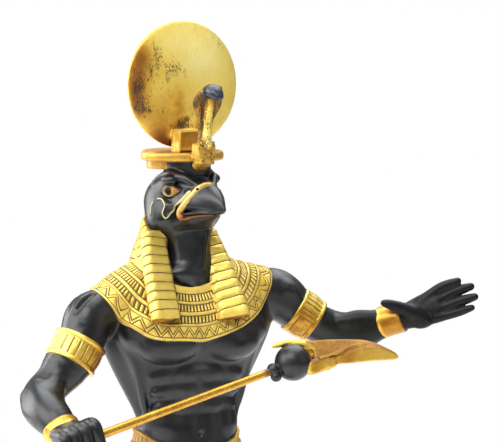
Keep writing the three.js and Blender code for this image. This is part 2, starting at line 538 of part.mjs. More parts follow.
// staff head: knob, ball, and a long-snouted animal head with its ears laid back
const S = (t, n1, n2) => F(rodLen + t, n1, n2);
const knob = (() => {
  const g = new THREE.LatheGeometry([[0, 0.35], [1.7, 0.35], [2.6, 0.8], [2.9, 1.7], [2.6, 2.6], [1.9, 3.1], [1.9, 5.2], [0, 5.2]].map(([r, h]) => new THREE.Vector2(r, h)), 16);
  g.applyQuaternion(new THREE.Quaternion().setFromUnitVectors(V(0, 1, 0), rodDir));
  const c = S(0, 0, 0);
  g.translate(c.x, c.y, c.z);
  return solid(g);
})();
const ball = ellipsoid(BALL.c, [BALL.r, BALL.r, BALL.r], 0, 18, 12);
// the head's ridge runs level from ear tip to snout tip; x, y, z, half height, half width
const SNOUT = [
  [19.6, -26.2, 181.0, 0.5, 0.5],
  [23.4, -26.6, 181.8, 1.1, 1.2],
  [28.0, -27.4, 181.6, 2.2, 2.2],
  [32.0, -28.8, 179.4, 3.4, 3.2],
  [37.0, -29.8, 178.8, 3.6, 3.4],
  [42.0, -30.2, 180.0, 3.1, 3.3],
  [48.0, -30.6, 180.3, 2.9, 3.2],
  [54.0, -30.9, 179.5, 2.5, 2.8],
  [59.0, -31.1, 178.2, 1.6, 1.9],
  [62.6, -31.2, 177.0, 0.5, 0.5],
];
const snout = limb(SNOUT, V(0, 0.25, 1), 10, 16, 0.6, 0.6);
const jaw = limb([[26.5, -30.2, 176.2, 2.6, 2.8], [31.5, -31.4, 176.0, 3.0, 3.0], [35.5, -31.8, 176.8, 2.6, 2.6]], V(0, 0, 1), 10, 4, 0.4, 0.5);
const staffHead = filled(filled(join([knob, ball, snout, jaw])).simplify(0.1));

// ---------------------------------------------------------------- plinth
const plinth = (() => {
  const rect = (inset, z) => {
    const hx = BASE.x / 2 - inset, hy = BASE.y / 2 - inset;
    return [V(-hx, -hy, z), V(0, -hy, z), V(hx, -hy, z), V(hx, 0, z), V(hx, hy, z), V(0, hy, z), V(-hx, hy, z), V(-hx, 0, z)];
  };
  return skin([rect(0.6, 0), rect(0, 0.6), rect(0, BASE.lip), rect(1.2, BASE.lip + 0.8), rect(1.2, BASE.z - BASE.top - 0.8), rect(0.3, BASE.z - BASE.top), rect(0.3, BASE.z - 0.5), rect(0.8, BASE.z)], V(0, 0, 0), V(0, 0, BASE.z));
})();

// ---------------------------------------------------------------- scene graph
function mesh(name, s, color, roughness, metalness) {
  const m = s.getMesh(), n = m.numProp, v = new Float32Array(m.numVert * 3);
  for (let i = 0; i < m.numVert; i++) for (let k = 0; k < 3; k++) v[i * 3 + k] = m.vertProperties[i * n + k];
  const g = new THREE.BufferGeometry();
  g.setAttribute("position", new THREE.BufferAttribute(v, 3));
  g.setIndex(new THREE.BufferAttribute(m.triVerts, 1));
  g.computeVertexNormals();
  const out = new THREE.Mesh(g, new THREE.MeshStandardMaterial({ color, roughness, metalness }));
  out.name = name;
  return out;
}
const group = new THREE.Group();
group.add(
  mesh("figure", figure, 0x1d1f20, 0.42, 0.0),
  mesh("plinth", plinth, 0x1b1c1d, 0.45, 0.0),
  mesh("staff_rod", rod, 0xc99b33, 0.35, 0.8),
  mesh("staff_head", staffHead, 0xc2932f, 0.4, 0.6),
);
export default group;
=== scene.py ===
import json
import math
from concurrent.futures import ThreadPoolExecutor

import bpy
import numpy as np
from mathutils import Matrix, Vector

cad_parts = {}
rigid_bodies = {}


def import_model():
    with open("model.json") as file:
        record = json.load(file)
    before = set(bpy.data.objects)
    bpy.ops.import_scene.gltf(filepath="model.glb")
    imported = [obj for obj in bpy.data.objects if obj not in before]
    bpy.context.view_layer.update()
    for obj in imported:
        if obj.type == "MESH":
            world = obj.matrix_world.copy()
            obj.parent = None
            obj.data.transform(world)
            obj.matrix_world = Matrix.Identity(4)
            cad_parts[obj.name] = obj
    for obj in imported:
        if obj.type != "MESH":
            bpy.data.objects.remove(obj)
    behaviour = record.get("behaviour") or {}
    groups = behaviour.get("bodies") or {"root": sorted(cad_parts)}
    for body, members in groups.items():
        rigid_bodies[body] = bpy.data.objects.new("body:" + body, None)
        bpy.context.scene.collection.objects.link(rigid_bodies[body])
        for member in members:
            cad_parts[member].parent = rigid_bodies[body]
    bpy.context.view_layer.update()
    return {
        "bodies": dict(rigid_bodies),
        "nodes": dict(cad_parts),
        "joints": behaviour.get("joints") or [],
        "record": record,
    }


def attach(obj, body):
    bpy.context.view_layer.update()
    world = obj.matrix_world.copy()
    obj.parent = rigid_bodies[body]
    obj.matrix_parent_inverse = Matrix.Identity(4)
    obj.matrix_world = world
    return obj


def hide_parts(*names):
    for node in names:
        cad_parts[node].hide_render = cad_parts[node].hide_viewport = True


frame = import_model()

# Everything below is in millimetres until the meshes are made.
GRID = 0.40  # spacing of the sampling grid for the casting
CELLS = 8
FIGURE_TRIS = 196000
POOL = ThreadPoolExecutor(4)
f32 = np.float32


# ------------------------------------------------------------------ curves and tables
def arr(*v):
    return np.array(v, dtype=np.float64)


def unit(v):
    v = np.asarray(v, dtype=np.float64)
    return v / np.linalg.norm(v)


def smooth(pts, n):
    """Catmull-Rom through the rows of pts, n steps between rows."""
    p = np.asarray(pts, dtype=np.float64)
    q = np.vstack([2 * p[0] - p[1], p, 2 * p[-1] - p[-2]])
    out = []
    for i in range(len(p) - 1):
        a, b, c, d = q[i], q[i + 1], q[i + 2], q[i + 3]
        for t in np.arange(n) / n:
            out.append(0.5 * (2 * b + (c - a) * t + (2 * a - 5 * b + 4 * c - d) * t * t + (3 * b - a - 3 * c + d) * t ** 3))
    out.append(p[-1])
    return np.array(out)


def table(rows, step=0.25):
    """A table with its first column rising, resampled smoothly: returns x and one array per column."""
    s = smooth(rows, 12)
    x = np.arange(s[0, 0], s[-1, 0] + step, step)
    return x, [np.interp(x, s[:, 0], s[:, i]) for i in range(1, s.shape[1])]


def look(tab, i, x):
    return np.interp(x, tab[0], tab[1][i]).astype(f32)


def smin(a, b, k):
    if k <= 0:
        return np.minimum(a, b)
    h = np.maximum(k - np.abs(a - b), 0) / k
    return np.minimum(a, b) - h * h * (k * 0.25)


def smax(a, b, k):
    return -smin(-a, -b, k)


def ramp(x, a, b):
    t = np.clip((x - a) / (b - a), 0, 1)
    return t * t * (3 - 2 * t)


def bell(x, c, w):
    return np.exp(-(((x - c) / w) ** 2))


# ------------------------------------------------------------------ solid forms as distance fields
class Form:
    """A distance function with the box it matters in, and how it joins what came before it."""

    def __init__(self, f, lo, hi, k=0.0, op="+"):
        self.f, self.k, self.op = f, k, op
        self.lo, self.hi = np.asarray(lo, float) - 2.6 - k, np.asarray(hi, float) + 2.6 + k


def ell(c, r, axes=None, k=0.0, op="+"):
    c, r = arr(*c), arr(*r)
    R = None if axes is None else np.array(axes, dtype=np.float64)

    def f(x, y, z):
        dx, dy, dz = x - f32(c[0]), y - f32(c[1]), z - f32(c[2])
        if R is not None:
            dx, dy, dz = (f32(R[i, 0]) * dx + f32(R[i, 1]) * dy + f32(R[i, 2]) * dz for i in range(3))
        a, b, e = dx / f32(r[0]), dy / f32(r[1]), dz / f32(r[2])
        k0 = np.sqrt(a * a + b * b + e * e)
        a, b, e = a / f32(r[0]), b / f32(r[1]), e / f32(r[2])
        k1 = np.sqrt(a * a + b * b + e * e)
        return k0 * (k0 - 1) / np.maximum(k1, f32(1e-4))

    m = r.max() if R is not None else r
    return Form(f, c - m, c + m, k, op)


def chain(stations, side=None, k=0.0, op="+", n=5, kind="round", corner=0.5):
    """A limb through stations x, y, z, radius (and a second radius along the other axis)."""
    s = smooth([list(q) for q in stations], n)
    C = s[:, :3]
    ra = s[:, 3]
    rb = s[:, 4] if s.shape[1] > 4 else ra
    segs = []
    for i in range(len(C) - 1):
        a, b = C[i], C[i + 1]
        t = unit(b - a)
        if side is not None:
            e1 = unit(np.asarray(side, float) - t * np.dot(side, t))
            e2 = np.cross(t, e1)
        else:
            e1 = e2 = None
        segs.append((a, b, b - a, float(np.dot(b - a, b - a)), t, e1, e2, ra[i], ra[i + 1], rb[i], rb[i + 1]))

    def f(x, y, z):
        best = None
        for a, b, ba, bb, t, e1, e2, r0, r1, q0, q1 in segs:
            px, py, pz = x - f32(a[0]), y - f32(a[1]), z - f32(a[2])
            h = np.clip((px * f32(ba[0]) + py * f32(ba[1]) + pz * f32(ba[2])) * f32(1 / bb), 0, 1)
            px = px - h * f32(ba[0])
            py = py - h * f32(ba[1])
            pz = pz - h * f32(ba[2])
            ru = f32(r0) + f32(r1 - r0) * h
            if side is None:
                d = np.sqrt(px * px + py * py + pz * pz) - ru
            else:
                rv = f32(q0) + f32(q1 - q0) * h
                u = px * f32(e1[0]) + py * f32(e1[1]) + pz * f32(e1[2])
                v = px * f32(e2[0]) + py * f32(e2[1]) + pz * f32(e2[2])
                w = px * f32(t[0]) + py * f32(t[1]) + pz * f32(t[2])
                if kind == "box":
                    c = f32(corner) * np.minimum(ru, rv)
                    qu, qv = np.abs(u) - ru + c, np.abs(v) - rv + c
                    d = np.sqrt(np.maximum(qu, 0) ** 2 + np.maximum(qv, 0) ** 2) + np.minimum(np.maximum(qu, qv), 0) - c
                    d = np.maximum(d, np.abs(w) - f32(0.3))
                else:
                    rm = np.minimum(ru, rv)
                    a1, b1, c1 = u / ru, v / rv, w / rm
                    k0 = np.sqrt(a1 * a1 + b1 * b1 + c1 * c1)
                    a1, b1, c1 = a1 / ru, b1 / rv, c1 / rm
                    k1 = np.sqrt(a1 * a1 + b1 * b1 + c1 * c1)
                    d = k0 * (k0 - 1) / np.maximum(k1, f32(1e-4))
            best = d if best is None else np.minimum(best, d)
        return best

    m = max(ra.max(), rb.max())
    return Form(f, C.min(0) - m, C.max(0) + m, k, op)


def tube_band(a, b, profile, k=0.0, op="+"):
    """A turned band about the line a-b: profile gives the radius by the distance from a; its ends are flat."""
    a, b = arr(*a), arr(*b)
    L = float(np.linalg.norm(b - a))
    t = unit(b - a)
    px = np.array([p[0] for p in profile]) * (L if profile[-1][0] <= 1.0001 else 1)
    pr = np.array([p[1] for p in profile])

    def f(x, y, z):
        dx, dy, dz = x - f32(a[0]), y - f32(a[1]), z - f32(a[2])
        h = dx * f32(t[0]) + dy * f32(t[1]) + dz * f32(t[2])
        r = np.sqrt(np.maximum(dx * dx + dy * dy + dz * dz - h * h, 0))
        return smax(r - np.interp(h, px, pr).astype(f32), np.maximum(-h, h - f32(L)), 0.25)

    m = pr.max()
    return Form(f, np.minimum(a, b) - m, np.maximum(a, b) + m, k, op)


def block(c, half, axes, r=0.4, k=0.0, op="+"):
    c, half = arr(*c), arr(*half)
    R = np.array(axes, dtype=np.float64)

    def f(x, y, z):
        dx, dy, dz = x - f32(c[0]), y - f32(c[1]), z - f32(c[2])
        q = [np.abs(f32(R[i, 0]) * dx + f32(R[i, 1]) * dy + f32(R[i, 2]) * dz) - f32(half[i] - r) for i in range(3)]
        out = np.sqrt(sum(np.maximum(v, 0) ** 2 for v in q))
        return out + np.minimum(np.maximum(np.maximum(q[0], q[1]), q[2]), 0) - f32(r)

    m = np.linalg.norm(half)
    return Form(f, c - m, c + m, k, op)


class Part:
    """Forms joined in order. extra(d, x, y, z) may add relief to the result."""

    def __init__(self, forms, gold=False, extra=None):
        self.forms, self.gold, self.extra = forms, gold, extra
        self.lo = np.min([q.lo for q in forms if q.op == "+"], axis=0)
        self.hi = np.max([q.hi for q in forms if q.op == "+"], axis=0)

    def at(self, x, y, z, far=9.0):
        """Distance at points, shape (n,)."""
        d = np.full(x.shape, far, dtype=f32)
        for q in self.forms:
            m = (x > q.lo[0]) & (x < q.hi[0]) & (y > q.lo[1]) & (y < q.hi[1]) & (z > q.lo[2]) & (z < q.hi[2])
            i = np.nonzero(m)[0]
            if not len(i):
                continue
            v = q.f(x[i], y[i], z[i])
            d[i] = smin(d[i], v, q.k) if q.op == "+" else smax(d[i], -v, q.k)
        if self.extra is not None:
            i = np.nonzero(d < 3.0)[0]
            if len(i):
                d[i] = self.extra(d[i], x[i], y[i], z[i])
        return d


# ------------------------------------------------------------------ frames of the body
YAW = math.radians(12)
HS = arr(math.cos(YAW), math.sin(YAW), 0)  # towards the head's left
HF = arr(math.sin(YAW), -math.cos(YAW), 0)  # forwards
HO = arr(-1.2, 0.3, 0)
HEAD_AXES = [HS, HF, arr(0, 0, 1)]


def H(s, f, z):
    return HO + HS * s + HF * f + arr(0, 0, z)


def head_coords(x, y, z):
    dx, dy = x - f32(HO[0]), y - f32(HO[1])
    return dx * f32(HS[0]) + dy * f32(HS[1]), dx * f32(HF[0]) + dy * f32(HF[1]), z


def hell(s, f, z, r, k=0.0, op="+", tilt=None):
    axes = HEAD_AXES
    if tilt is not None:
        axes = [np.array(a) for a in tilt]
    return ell(H(s, f, z), r, axes, k, op)


def both(make):
    return [make(-1), make(1)]


# ------------------------------------------------------------------ torso
TORSO = table([
    [132.0, 18.6, 12.8, 14.4], [140.0, 18.0, 12.4, 13.8], [148.5, 17.2, 11.8, 12.4], [153.0, 16.1, 11.0, 11.0],
    [157.0, 15.5, 10.5, 10.2], [161.0, 16.2, 10.8, 10.4], [165.5, 18.2, 11.3, 11.4], [170.5, 20.8, 11.9, 12.8],
    [175.5, 23.2, 12.6, 14.0], [180.5, 25.2, 14.6, 15.0], [185.5, 26.8, 15.2, 15.4], [190.5, 28.0, 14.8, 15.2],
    [195.0, 27.8, 13.2, 14.2], [199.0, 25.2, 11.2, 12.6], [203.0, 20.5, 9.8, 11.2], [207.0, 12.0, 8.6, 9.8], [210.0, 8.0, 7.0, 8.0]])


def torso_f(x, y, z):
    a = look(TORSO, 0, z)
    b = np.where(y < 0, look(TORSO, 1, z), look(TORSO, 2, z))
    e = f32(2.3)
    nrm = (np.abs(x / a) ** e + np.abs(y / b) ** e) ** f32(1 / 2.3)
    rho = np.sqrt(x * x + y * y)
    d = rho * (1 - 1 / np.maximum(nrm, f32(0.05)))
    d = np.where(nrm < 0.35, -4, d)
    return np.maximum(d * f32(0.9), np.maximum(z - 208, 138 - z))


torso_form = Form(torso_f, (-29, -17, 138), (29, 17, 208), 0)


def muscle(c, r, ax=None, k=1.6):
    return ell(c, r, ax, k)


def tilted(rx=0.0, ry=0.0, rz=0.0):
    a, b, c = math.radians(rx), math.radians(ry), math.radians(rz)
    X = np.array([[1, 0, 0], [0, math.cos(a), -math.sin(a)], [0, math.sin(a), math.cos(a)]])
    Y = np.array([[math.cos(b), 0, math.sin(b)], [0, 1, 0], [-math.sin(b), 0, math.cos(b)]])
    Z = np.array([[math.cos(c), -math.sin(c), 0], [math.sin(c), math.cos(c), 0], [0, 0, 1]])
    return (Z @ Y @ X).T


SLOPE_R = [[-7.0, 2.0, 203.4, 8.0, 6.6], [-14.0, 2.0, 200.8, 8.6, 6.6], [-21.0, 1.2, 197.6, 9.0, 6.6], [-28.0, 0.2, 193.2, 8.8, 6.6], [-31.0, -0.6, 191.8, 8.2, 7.0]]
SLOPE_L = [[7.0, 2.4, 203.8, 8.0, 6.2], [15.0, 2.6, 200.4, 8.6, 6.4], [22.0, 2.4, 198.6, 9.0, 6.4], [28.0, 2.2, 197.2, 8.8, 6.5], [32.5, 2.0, 196.0, 8.2, 7.2]]

chest = [torso_form]
chest += [chain(SLOPE_R, (0, 1, 0), 3.0), chain(SLOPE_L, (0, 1, 0), 3.0)]
for m in (-1, 1):
    chest += [
        # breast
        muscle((m * 9.4, -9.6, 182.2), (11.8, 7.7, 7.4), tilted(ry=m * 5), 0.7),
        muscle((m * 16.5, -7.0, 187.0), (9.4, 7.2, 7.4), tilted(ry=m * 25), 1.8),
        # the muscle from the armpit down the side, and its front edge
        chain([[m * 27.0, 0.5, 190, 4.6], [m * 24.5, 1.2, 182, 4.4], [m * 20.6, 1.4, 172, 3.6], [m * 16.9, 1.2, 162, 2.2], [m * 15.2, 1.0, 156, 1.2]], None, 2.4),
        chain([[m * 24.4, -3.6, 184.0, 1.6], [m * 21.2, -5.0, 178.6, 1.7], [m * 19.3, -5.5, 174.0, 1.6], [m * 18.2, -5.4, 168.5, 1.4], [m * 16.8, -4.8, 162.0, 1.2], [m * 15.6, -4.2, 157.6, 0.8]], None, 1.3),
        # ribs at the side
        muscle((m * 11.2, -8.4, 171.4), (4.6, 2.3, 2.0), tilted(ry=m * 12), 1.8),
        muscle((m * 10.8, -8.0, 166.4), (4.4, 2.2, 2.0), tilted(ry=m * 12), 1.8),
        muscle((m * 10.2, -7.4, 161.2), (4.2, 2.2, 2.0), tilted(ry=m * 12), 1.8),
        # belly, in rows
        muscle((m * 4.2, -9.9, 171.8), (4.4, 2.6, 3.0), None, 1.2),
        # the edge of the ribs, an arch over the belly
        chain([[m * 1.2, -11.4, 174.6, 0.6], [m * 5.4, -11.0, 173.2, 0.6], [m * 8.4, -9.9, 170.6, 0.35]], None, 1.6),
        muscle((m * 4.2, -9.5, 166.8), (4.2, 2.4, 3.1), None, 1.1),
        muscle((m * 4.2, -8.8, 161.0), (4.1, 2.3, 3.1), None, 1.1),
        muscle((m * 3.8, -9.0, 152.5), (4.6, 2.6, 6.4), None, 1.6),
        # flank
        muscle((m * 10.6, -3.4, 154.6), (5.2, 7.0, 6.4), tilted(ry=m * 12), 2.6),
        # back
        muscle((m * 12.5, 10.0, 187.0), (8.6, 5.6, 8.0), tilted(ry=m * 15), 2.4),
        chain([[m * 4.4, 11.0, 195, 3.6], [m * 4.2, 11.2, 180, 3.4], [m * 4.4, 8.6, 165, 3.4], [m * 5.0, 8.4, 152, 3.8]], None, 2.4),
    ]
chest += [
    chain([[0, -15.4, 177.5, 0.5], [0, -13.8, 172, 0.6], [0, -12.5, 165, 0.6], [0, -11.9, 156, 0.5]], None, 1.2, "-"),
    chain([[0, -17.3, 188, 0.5], [0, -17.6, 182, 0.8], [0, -16.2, 178, 0.7]], None, 1.8, "-"),
    chain([[0, 15.6, 195, 0.8], [0, 15.6, 182, 1.0], [0, 13.2, 165, 1.0], [0, 12.6, 152, 0.8]], None, 2.0, "-"),
    ell((0.4, -12.4, 151.9), (0.9, 1.6, 1.2), None, 0.7, "-"),
]

SIDE = (len(chest) - 7) // 2  # forms on each side

# ------------------------------------------------------------------ neck
neck = [chain([[0.0, -1.6, 197.0, 10.4, 8.6], [-0.1, -2.0, 201, 10.2, 9.3], [-0.4, -2.6, 206, 8.6, 8.6], [-0.5, -2.8, 211, 7.3, 7.9], [-0.4, -2.8, 217, 7.3, 7.9], [-0.2, -2.4, 221, 7.4, 7.4]], (1, 0, 0), 2.8, n=4),
        chain([[-5.6, -5.4, 217, 1.5], [-4.4, -8.2, 208, 1.4], [-1.4, -10.6, 200.5, 1.2]], None, 1.4),
        chain([[3.6, -8.0, 219.0, 1.6], [2.4, -9.3, 214.8, 1.3], [1.8, -9.7, 211, 1.2], [1.0, -10.6, 206.5, 1.2]], None, 0.9),
        # the bulge at its foot
        ell((-3.2, -7.4, 203.4), (6.8, 5.2, 4.0), tilted(rx=-24), 1.6)]

# ------------------------------------------------------------------ head
CULMEN = table([[3.0, 236.2], [8.0, 235.4], [12.0, 234.2], [15.6, 232.9], [18.4, 231.5], [20.9, 229.8], [22.6, 228.2], [23.6, 226.9], [24.3, 225.5]], 0.1)
TOMIUM = table([[3.0, 222.6], [8.0, 222.8], [11.0, 222.9], [13.0, 223.2], [16.5, 223.8], [19.5, 223.6], [21.0, 223.5], [22.8, 224.2], [24.3, 225.0]], 0.1)
BEAKW = table([[3.0, 8.0], [8.0, 8.0], [11.0, 7.6], [14.0, 6.6], [17.0, 5.1], [20.0, 3.2], [22.0, 1.8], [23.4, 0.9], [24.3, 0.4]], 0.1)
JAW_TOP = table([[3.0, 222.4], [8.0, 222.5], [11.0, 222.8], [13.0, 223.1], [15.3, 223.6], [17.3, 223.8], [19.0, 223.7], [20.4, 223.5]], 0.1)
JAW_LOW = table([[3.0, 211.0], [6.0, 214.0], [9.0, 216.6], [11.0, 218.0], [14.0, 219.6], [17.0, 221.2], [19.0, 222.3], [20.4, 223.0]], 0.1)
JAWW = table([[3.0, 8.8], [8.0, 8.0], [11.7, 6.5], [12.8, 5.7], [15.3, 4.0], [17.3, 2.6], [19.0, 1.4], [20.4, 0.6]], 0.1)


def beak_form():
    def f(x, y, z):
        s, ff, _ = head_coords(x, y, z)
        fc = np.clip(ff, 3.0, 24.3)
        top, low, w = look(CULMEN, 0, fc), look(TOMIUM, 0, fc), look(BEAKW, 0, fc)
        hh = np.maximum(top - low, 0.6)
        v = (z - low) / hh
        # section: widest low down, round on top, nearly flat below
        cz = low + hh * f32(0.30)
        rv = np.where(z > cz, hh * f32(0.70), hh * f32(0.32))
        e = f32(2.1)
        nrm = (np.abs(s / w) ** e + np.abs((z - cz) / rv) ** e) ** (1 / e)
        d = (nrm - 1) * np.minimum(w, rv) * f32(1.1)
        return np.maximum(d, np.maximum(ff - f32(24.35), f32(2.0) - ff))

    c = H(0, 13, 229)
    return Form(f, c - 13, c + 13, 1.0)


def jaw_form():
    def f(x, y, z):
        s, ff, _ = head_coords(x, y, z)
        fc = np.clip(ff, 3.0, 20.4)
        top, low, w = look(JAW_TOP, 0, fc), look(JAW_LOW, 0, fc), look(JAWW, 0, fc)
        hh = np.maximum(top - low, 0.4)
        cz = top - hh * f32(0.18)
        rv = np.where(z > cz, hh * f32(0.18), hh * f32(0.82))
        nrm = np.sqrt((s / w) ** 2 + ((z - cz) / rv) ** 2)
        d = (nrm - 1) * np.minimum(w, np.maximum(rv, 1.0)) * f32(0.9)
        return np.maximum(d, np.maximum(ff - f32(20.4), f32(2.0) - ff))

    c = H(0, 12, 220)
    return Form(f, c - 12, c + 12, 0.35)


def eye_frame(m):
    """Centre of an eye and its axes: outwards, forwards, up."""
    return H(m * 8.3, 5.3, 230.8), [HS * m * 0.941 + HF * 0.34, HF * 0.941 - HS * m * 0.34, arr(0, 0, 1)]


def at_eye(m, out, fwd, up):
    c, (a, b, e) = eye_frame(m)
    return c + a * out + b * fwd + e * up


def eye_ell(m, out, fwd, up, r, k=0.0, op="+"):
    return ell(at_eye(m, out, fwd, up), r, eye_frame(m)[1], k, op)


head = [
    hell(0, -1.8, 226.2, (10.7, 12.6, 10.4)),
    hell(0, 3.2, 229.6, (9.3, 9.2, 7.4), 1.4),
    hell(0, 0.6, 232.6, (8.2, 9.0, 4.4), 1.4),
    chain([[*H(0, 1.5, 232), 7.6, 7.8], [*H(0, 3.2, 237.5), 7.4, 7.6], [*H(0, 3.4, 241.2), 7.7, 7.8]], HS, 1.0, n=3),
]
for m in (-1, 1):
    head += [
        # cheek
        hell(m * 5.4, -0.8, 221.8, (6.0, 8.2, 7.2), 2.0),
        # brow, arching forward to the beak
        chain([[*H(m * 8.2, -4.0, 233.0), 0.6], [*H(m * 7.8, -0.6, 235.0), 0.9], [*H(m * 7.3, 4.2, 235.9), 1.2], [*H(m * 6.6, 7.6, 235.3), 1.4], [*H(m * 5.6, 10.0, 234.5), 1.3], [*H(m * 4.4, 11.8, 233.4), 1.1], [*H(m * 3.4, 13.2, 232.6), 0.9]], None, 1.7),
        # hollow round the eye, deeper in front of it
        eye_ell(m, 1.5, 0.4, -0.2, (2.6, 5.2, 4.5), 0.8, "-"),
        eye_ell(m, 1.4, 4.2, 0.3, (1.8, 2.9, 3.0), 1.2, "-"),
        # rim under the eye, running forward to the beak
        chain([[*H(m * 8.9, 2.3, 228.0), 0.7], [*H(m * 8.5, 4.8, 226.2), 0.8], [*H(m * 7.8, 7.5, 226.4), 0.8], [*H(m * 6.9, 10.2, 227.8), 0.8], [*H(m * 5.7, 12.2, 230.2), 0.8]], None, 0.9),
        # upper lid
        eye_ell(m, 0.1, 0.1, 3.4, (2.5, 3.1, 1.85), 0.45),
        chain([[*at_eye(m, 1.0, -4.1, 2.0), 0.25], [*at_eye(m, 1.4, -1.6, 2.75), 0.3], [*at_eye(m, 1.4, 1.4, 2.55), 0.3], [*at_eye(m, 0.9, 4.2, 1.0), 0.22]], None, 0.25, "-"),
    ]
head += neck + [beak_form(), jaw_form()]
for m in (-1, 1):
    # the beak's cutting edge stands out a little above the slit of the mouth
    head.append(chain([[*H(m * 7.5, 10.6, 223.3), 0.5], [*H(m * 6.7, 12.5, 223.5), 0.55], [*H(m * 5.6, 14.5, 223.9), 0.6], [*H(m * 4.4, 16.5, 224.15), 0.58], [*H(m * 3.0, 19.0, 224.05), 0.52], [*H(m * 1.8, 21.0, 224.3), 0.45], [*H(m * 0.7, 23.0, 224.8), 0.4]], None, 0.4))
    head.append(chain([[*H(m * 8.2, 10.2, 222.7), 0.2], [*H(m * 7.2, 12.0, 222.9), 0.2], [*H(m * 5.4, 14.5, 223.3), 0.2], [*H(m * 3.9, 16.8, 223.55), 0.18], [*H(m * 2.2, 19.2, 223.55), 0.18], [*H(m * 0.4, 20.8, 223.6), 0.18]], None, 0.15, "-"))
head.append(Form(lambda x, y, z: f32(241.4) - z, (-14, -14, 242), (14, 14, 252), 0.0, "-"))

cere = [chain([[*H(-1.9, 15.4, 232.6), 1.0], [*H(0, 15.8, 232.7), 0.9], [*H(1.6, 15.0, 231.9), 0.8]], None, 0.25)]
for m in (-1, 1):
    o = 0.0 if m < 0 else 1.0  # the far side is modelled flatter
    cere += [
        chain([[*H(m * 1.7, 15.4 - 0.5 * o, 232.6 - 0.8 * o), 1.0], [*H(m * (3.6 - 0.4 * o), 14.8 - 0.5 * o, 231.7 - 0.8 * o), 1.12 - 0.1 * o], [*H(m * (4.5 - 0.5 * o), 14.4 - 0.5 * o, 230.8 - 0.7 * o), 1.12], [*H(m * (5.4 - 0.5 * o), 13.7 - 0.5 * o, 229.3 - 0.5 * o), 1.12],
               [*H(m * (6.4 - 0.5 * o), 12.6 - 0.5 * o, 227.7 - 0.3 * o), 1.12], [*H(m * (7.2 - 0.5 * o), 11.4 - 0.5 * o, 226.1), 1.12], [*H(m * (7.8 - 0.7 * o), 10.5 - 0.7 * o, 224.5), 1.12], [*H(m * (8.0 - 1.0 * o), 10.4 - 0.9 * o, 223.1), 1.12], [*H(m * (7.8 - 1.0 * o), 11.3 - 0.9 * o, 222.2), 0.9]], None, 0.25),
        chain([[*H(m * (7.8 - 1.0 * o), 11.2 - 0.9 * o, 222.1), 0.85], [*H(m * (6.5 - 0.6 * o), 11.9, 222.1), 0.62], [*H(m * (5.6 - 0.4 * o), 13.0, 222.6), 0.5], [*H(m * (3.9 - 0.3 * o), 15.3, 223.1), 0.45], [*H(m * 2.6, 17.0, 223.25), 0.42], [*H(m * 1.5, 18.6, 223.35), 0.36]], None, 0.3),
    ]
cere += both(lambda m: ell(H(m * 4.4, 15.2, 231.5), (0.5, 0.6, 0.4), None, 0.2, "-"))

# ------------------------------------------------------------------ wig
WIG_T = table([
    [195.0, 18.6, 16.8, 2.2], [201.0, 17.6, 15.8, 2.6], [205.5, 16.6, 14.8, 2.8], [210.0, 15.2, 14.0, 3.0],
    [214.5, 13.4, 13.0, 2.8], [219.0, 11.6, 12.2, 2.4], [223.0, 9.9, 11.6, 2.0], [228.0, 8.0, 10.6, 1.6]])


def wig_form():
    def f(x, y, z):
        a, b, cy = look(WIG_T, 0, z), look(WIG_T, 1, z), look(WIG_T, 2, z)
        dx, dy = x + f32(1.6), y - cy
        nrm = np.sqrt((dx / a) ** 2 + (dy / b) ** 2)
        d = (nrm - 1) * np.minimum(a, b) * f32(0.92)
        lip = f32(197.2) + f32(0.0) * x
        d = smax(d, -(y + f32(2.0)), 1.2)
        return smax(d, np.maximum(z - f32(224.5), lip - z), 0.8)

    return Form(f, (-21, -3, 196), (18, 20, 225), 0)


LAPPET_R = [[-11.0, 1.2, 223.0, 3.4, 1.9], [-11.9, -1.6, 217.4, 4.2, 2.1], [-12.9, -5.0, 211.5, 4.8, 2.3], [-13.5, -8.8, 205.0, 5.2, 2.4], [-13.9, -13.0, 198.0, 5.4, 2.5], [-14.1, -16.4, 192.4, 5.5, 2.3], [-14.1, -17.4, 190.2, 5.5, 2.1]]
LAPPET_L = [[6.6, 1.2, 223.0, 2.0, 1.8], [7.2, -1.6, 217.4, 2.4, 1.9], [7.8, -5.0, 211.5, 3.4, 2.2], [8.4, -8.8, 205.0, 4.4, 2.4], [9.0, -13.0, 198.0, 4.9, 2.5], [9.6, -16.4, 192.4, 5.1, 2.3], [9.7, -17.4, 190.2, 5.1, 2.1]]


def face_edge():
    """The wig stops at a line that rises from the jaw to the back of the head."""
    def f(x, y, z):
        _, q, _ = head_coords(x, y, z)
        return (f32(217.6) + f32(0.58) * np.maximum(-2 - q, 0) - z) * f32(0.86)

    return Form(f, (-22, -14, 214), (20, 20, 232), 0.5, "-")


wig = [wig_form(),
       ell(H(0, -4.6, 218.0), (10.9, 10.4, 8.4), HEAD_AXES, 1.4),
       chain(LAPPET_R, (1, 0.35, 0), 2.0, kind="box", corner=0.97),
       chain(LAPPET_L, (1, -0.35, 0), 1.6, kind="box", corner=0.97), face_edge()]


# ------------------------------------------------------------------ collar
COL_C, COL_R = arr(-2.2, -1.2, 207.5), arr(31.8, 31.8, 28.0)
COL_K = 29.7


def collar_w(x, y, z):
    """Distance in from the collar's outer edge, along its face."""
    q = np.sqrt(((x - f32(COL_C[0])) / f32(COL_R[0])) ** 2 + ((y - f32(COL_C[1])) / f32(COL_R[1])) ** 2 + ((z - f32(COL_C[2])) / f32(COL_R[2])) ** 2)
    w = (1 - q) * f32(COL_K)
    return w + f32(1.8) * bell(x - f32(COL_C[0]), -14.5, 8.5).astype(f32) * ramp(w, 12, 1).astype(f32) * (y < 0)


def collar_u(x, y, z):
    """Distance round the collar's patterned edge, from its front middle."""
    ph = np.arctan2(x - f32(COL_C[0]), -(y - f32(COL_C[1])))
    return np.interp(ph, ROUND[0], ROUND[1]).astype(f32)


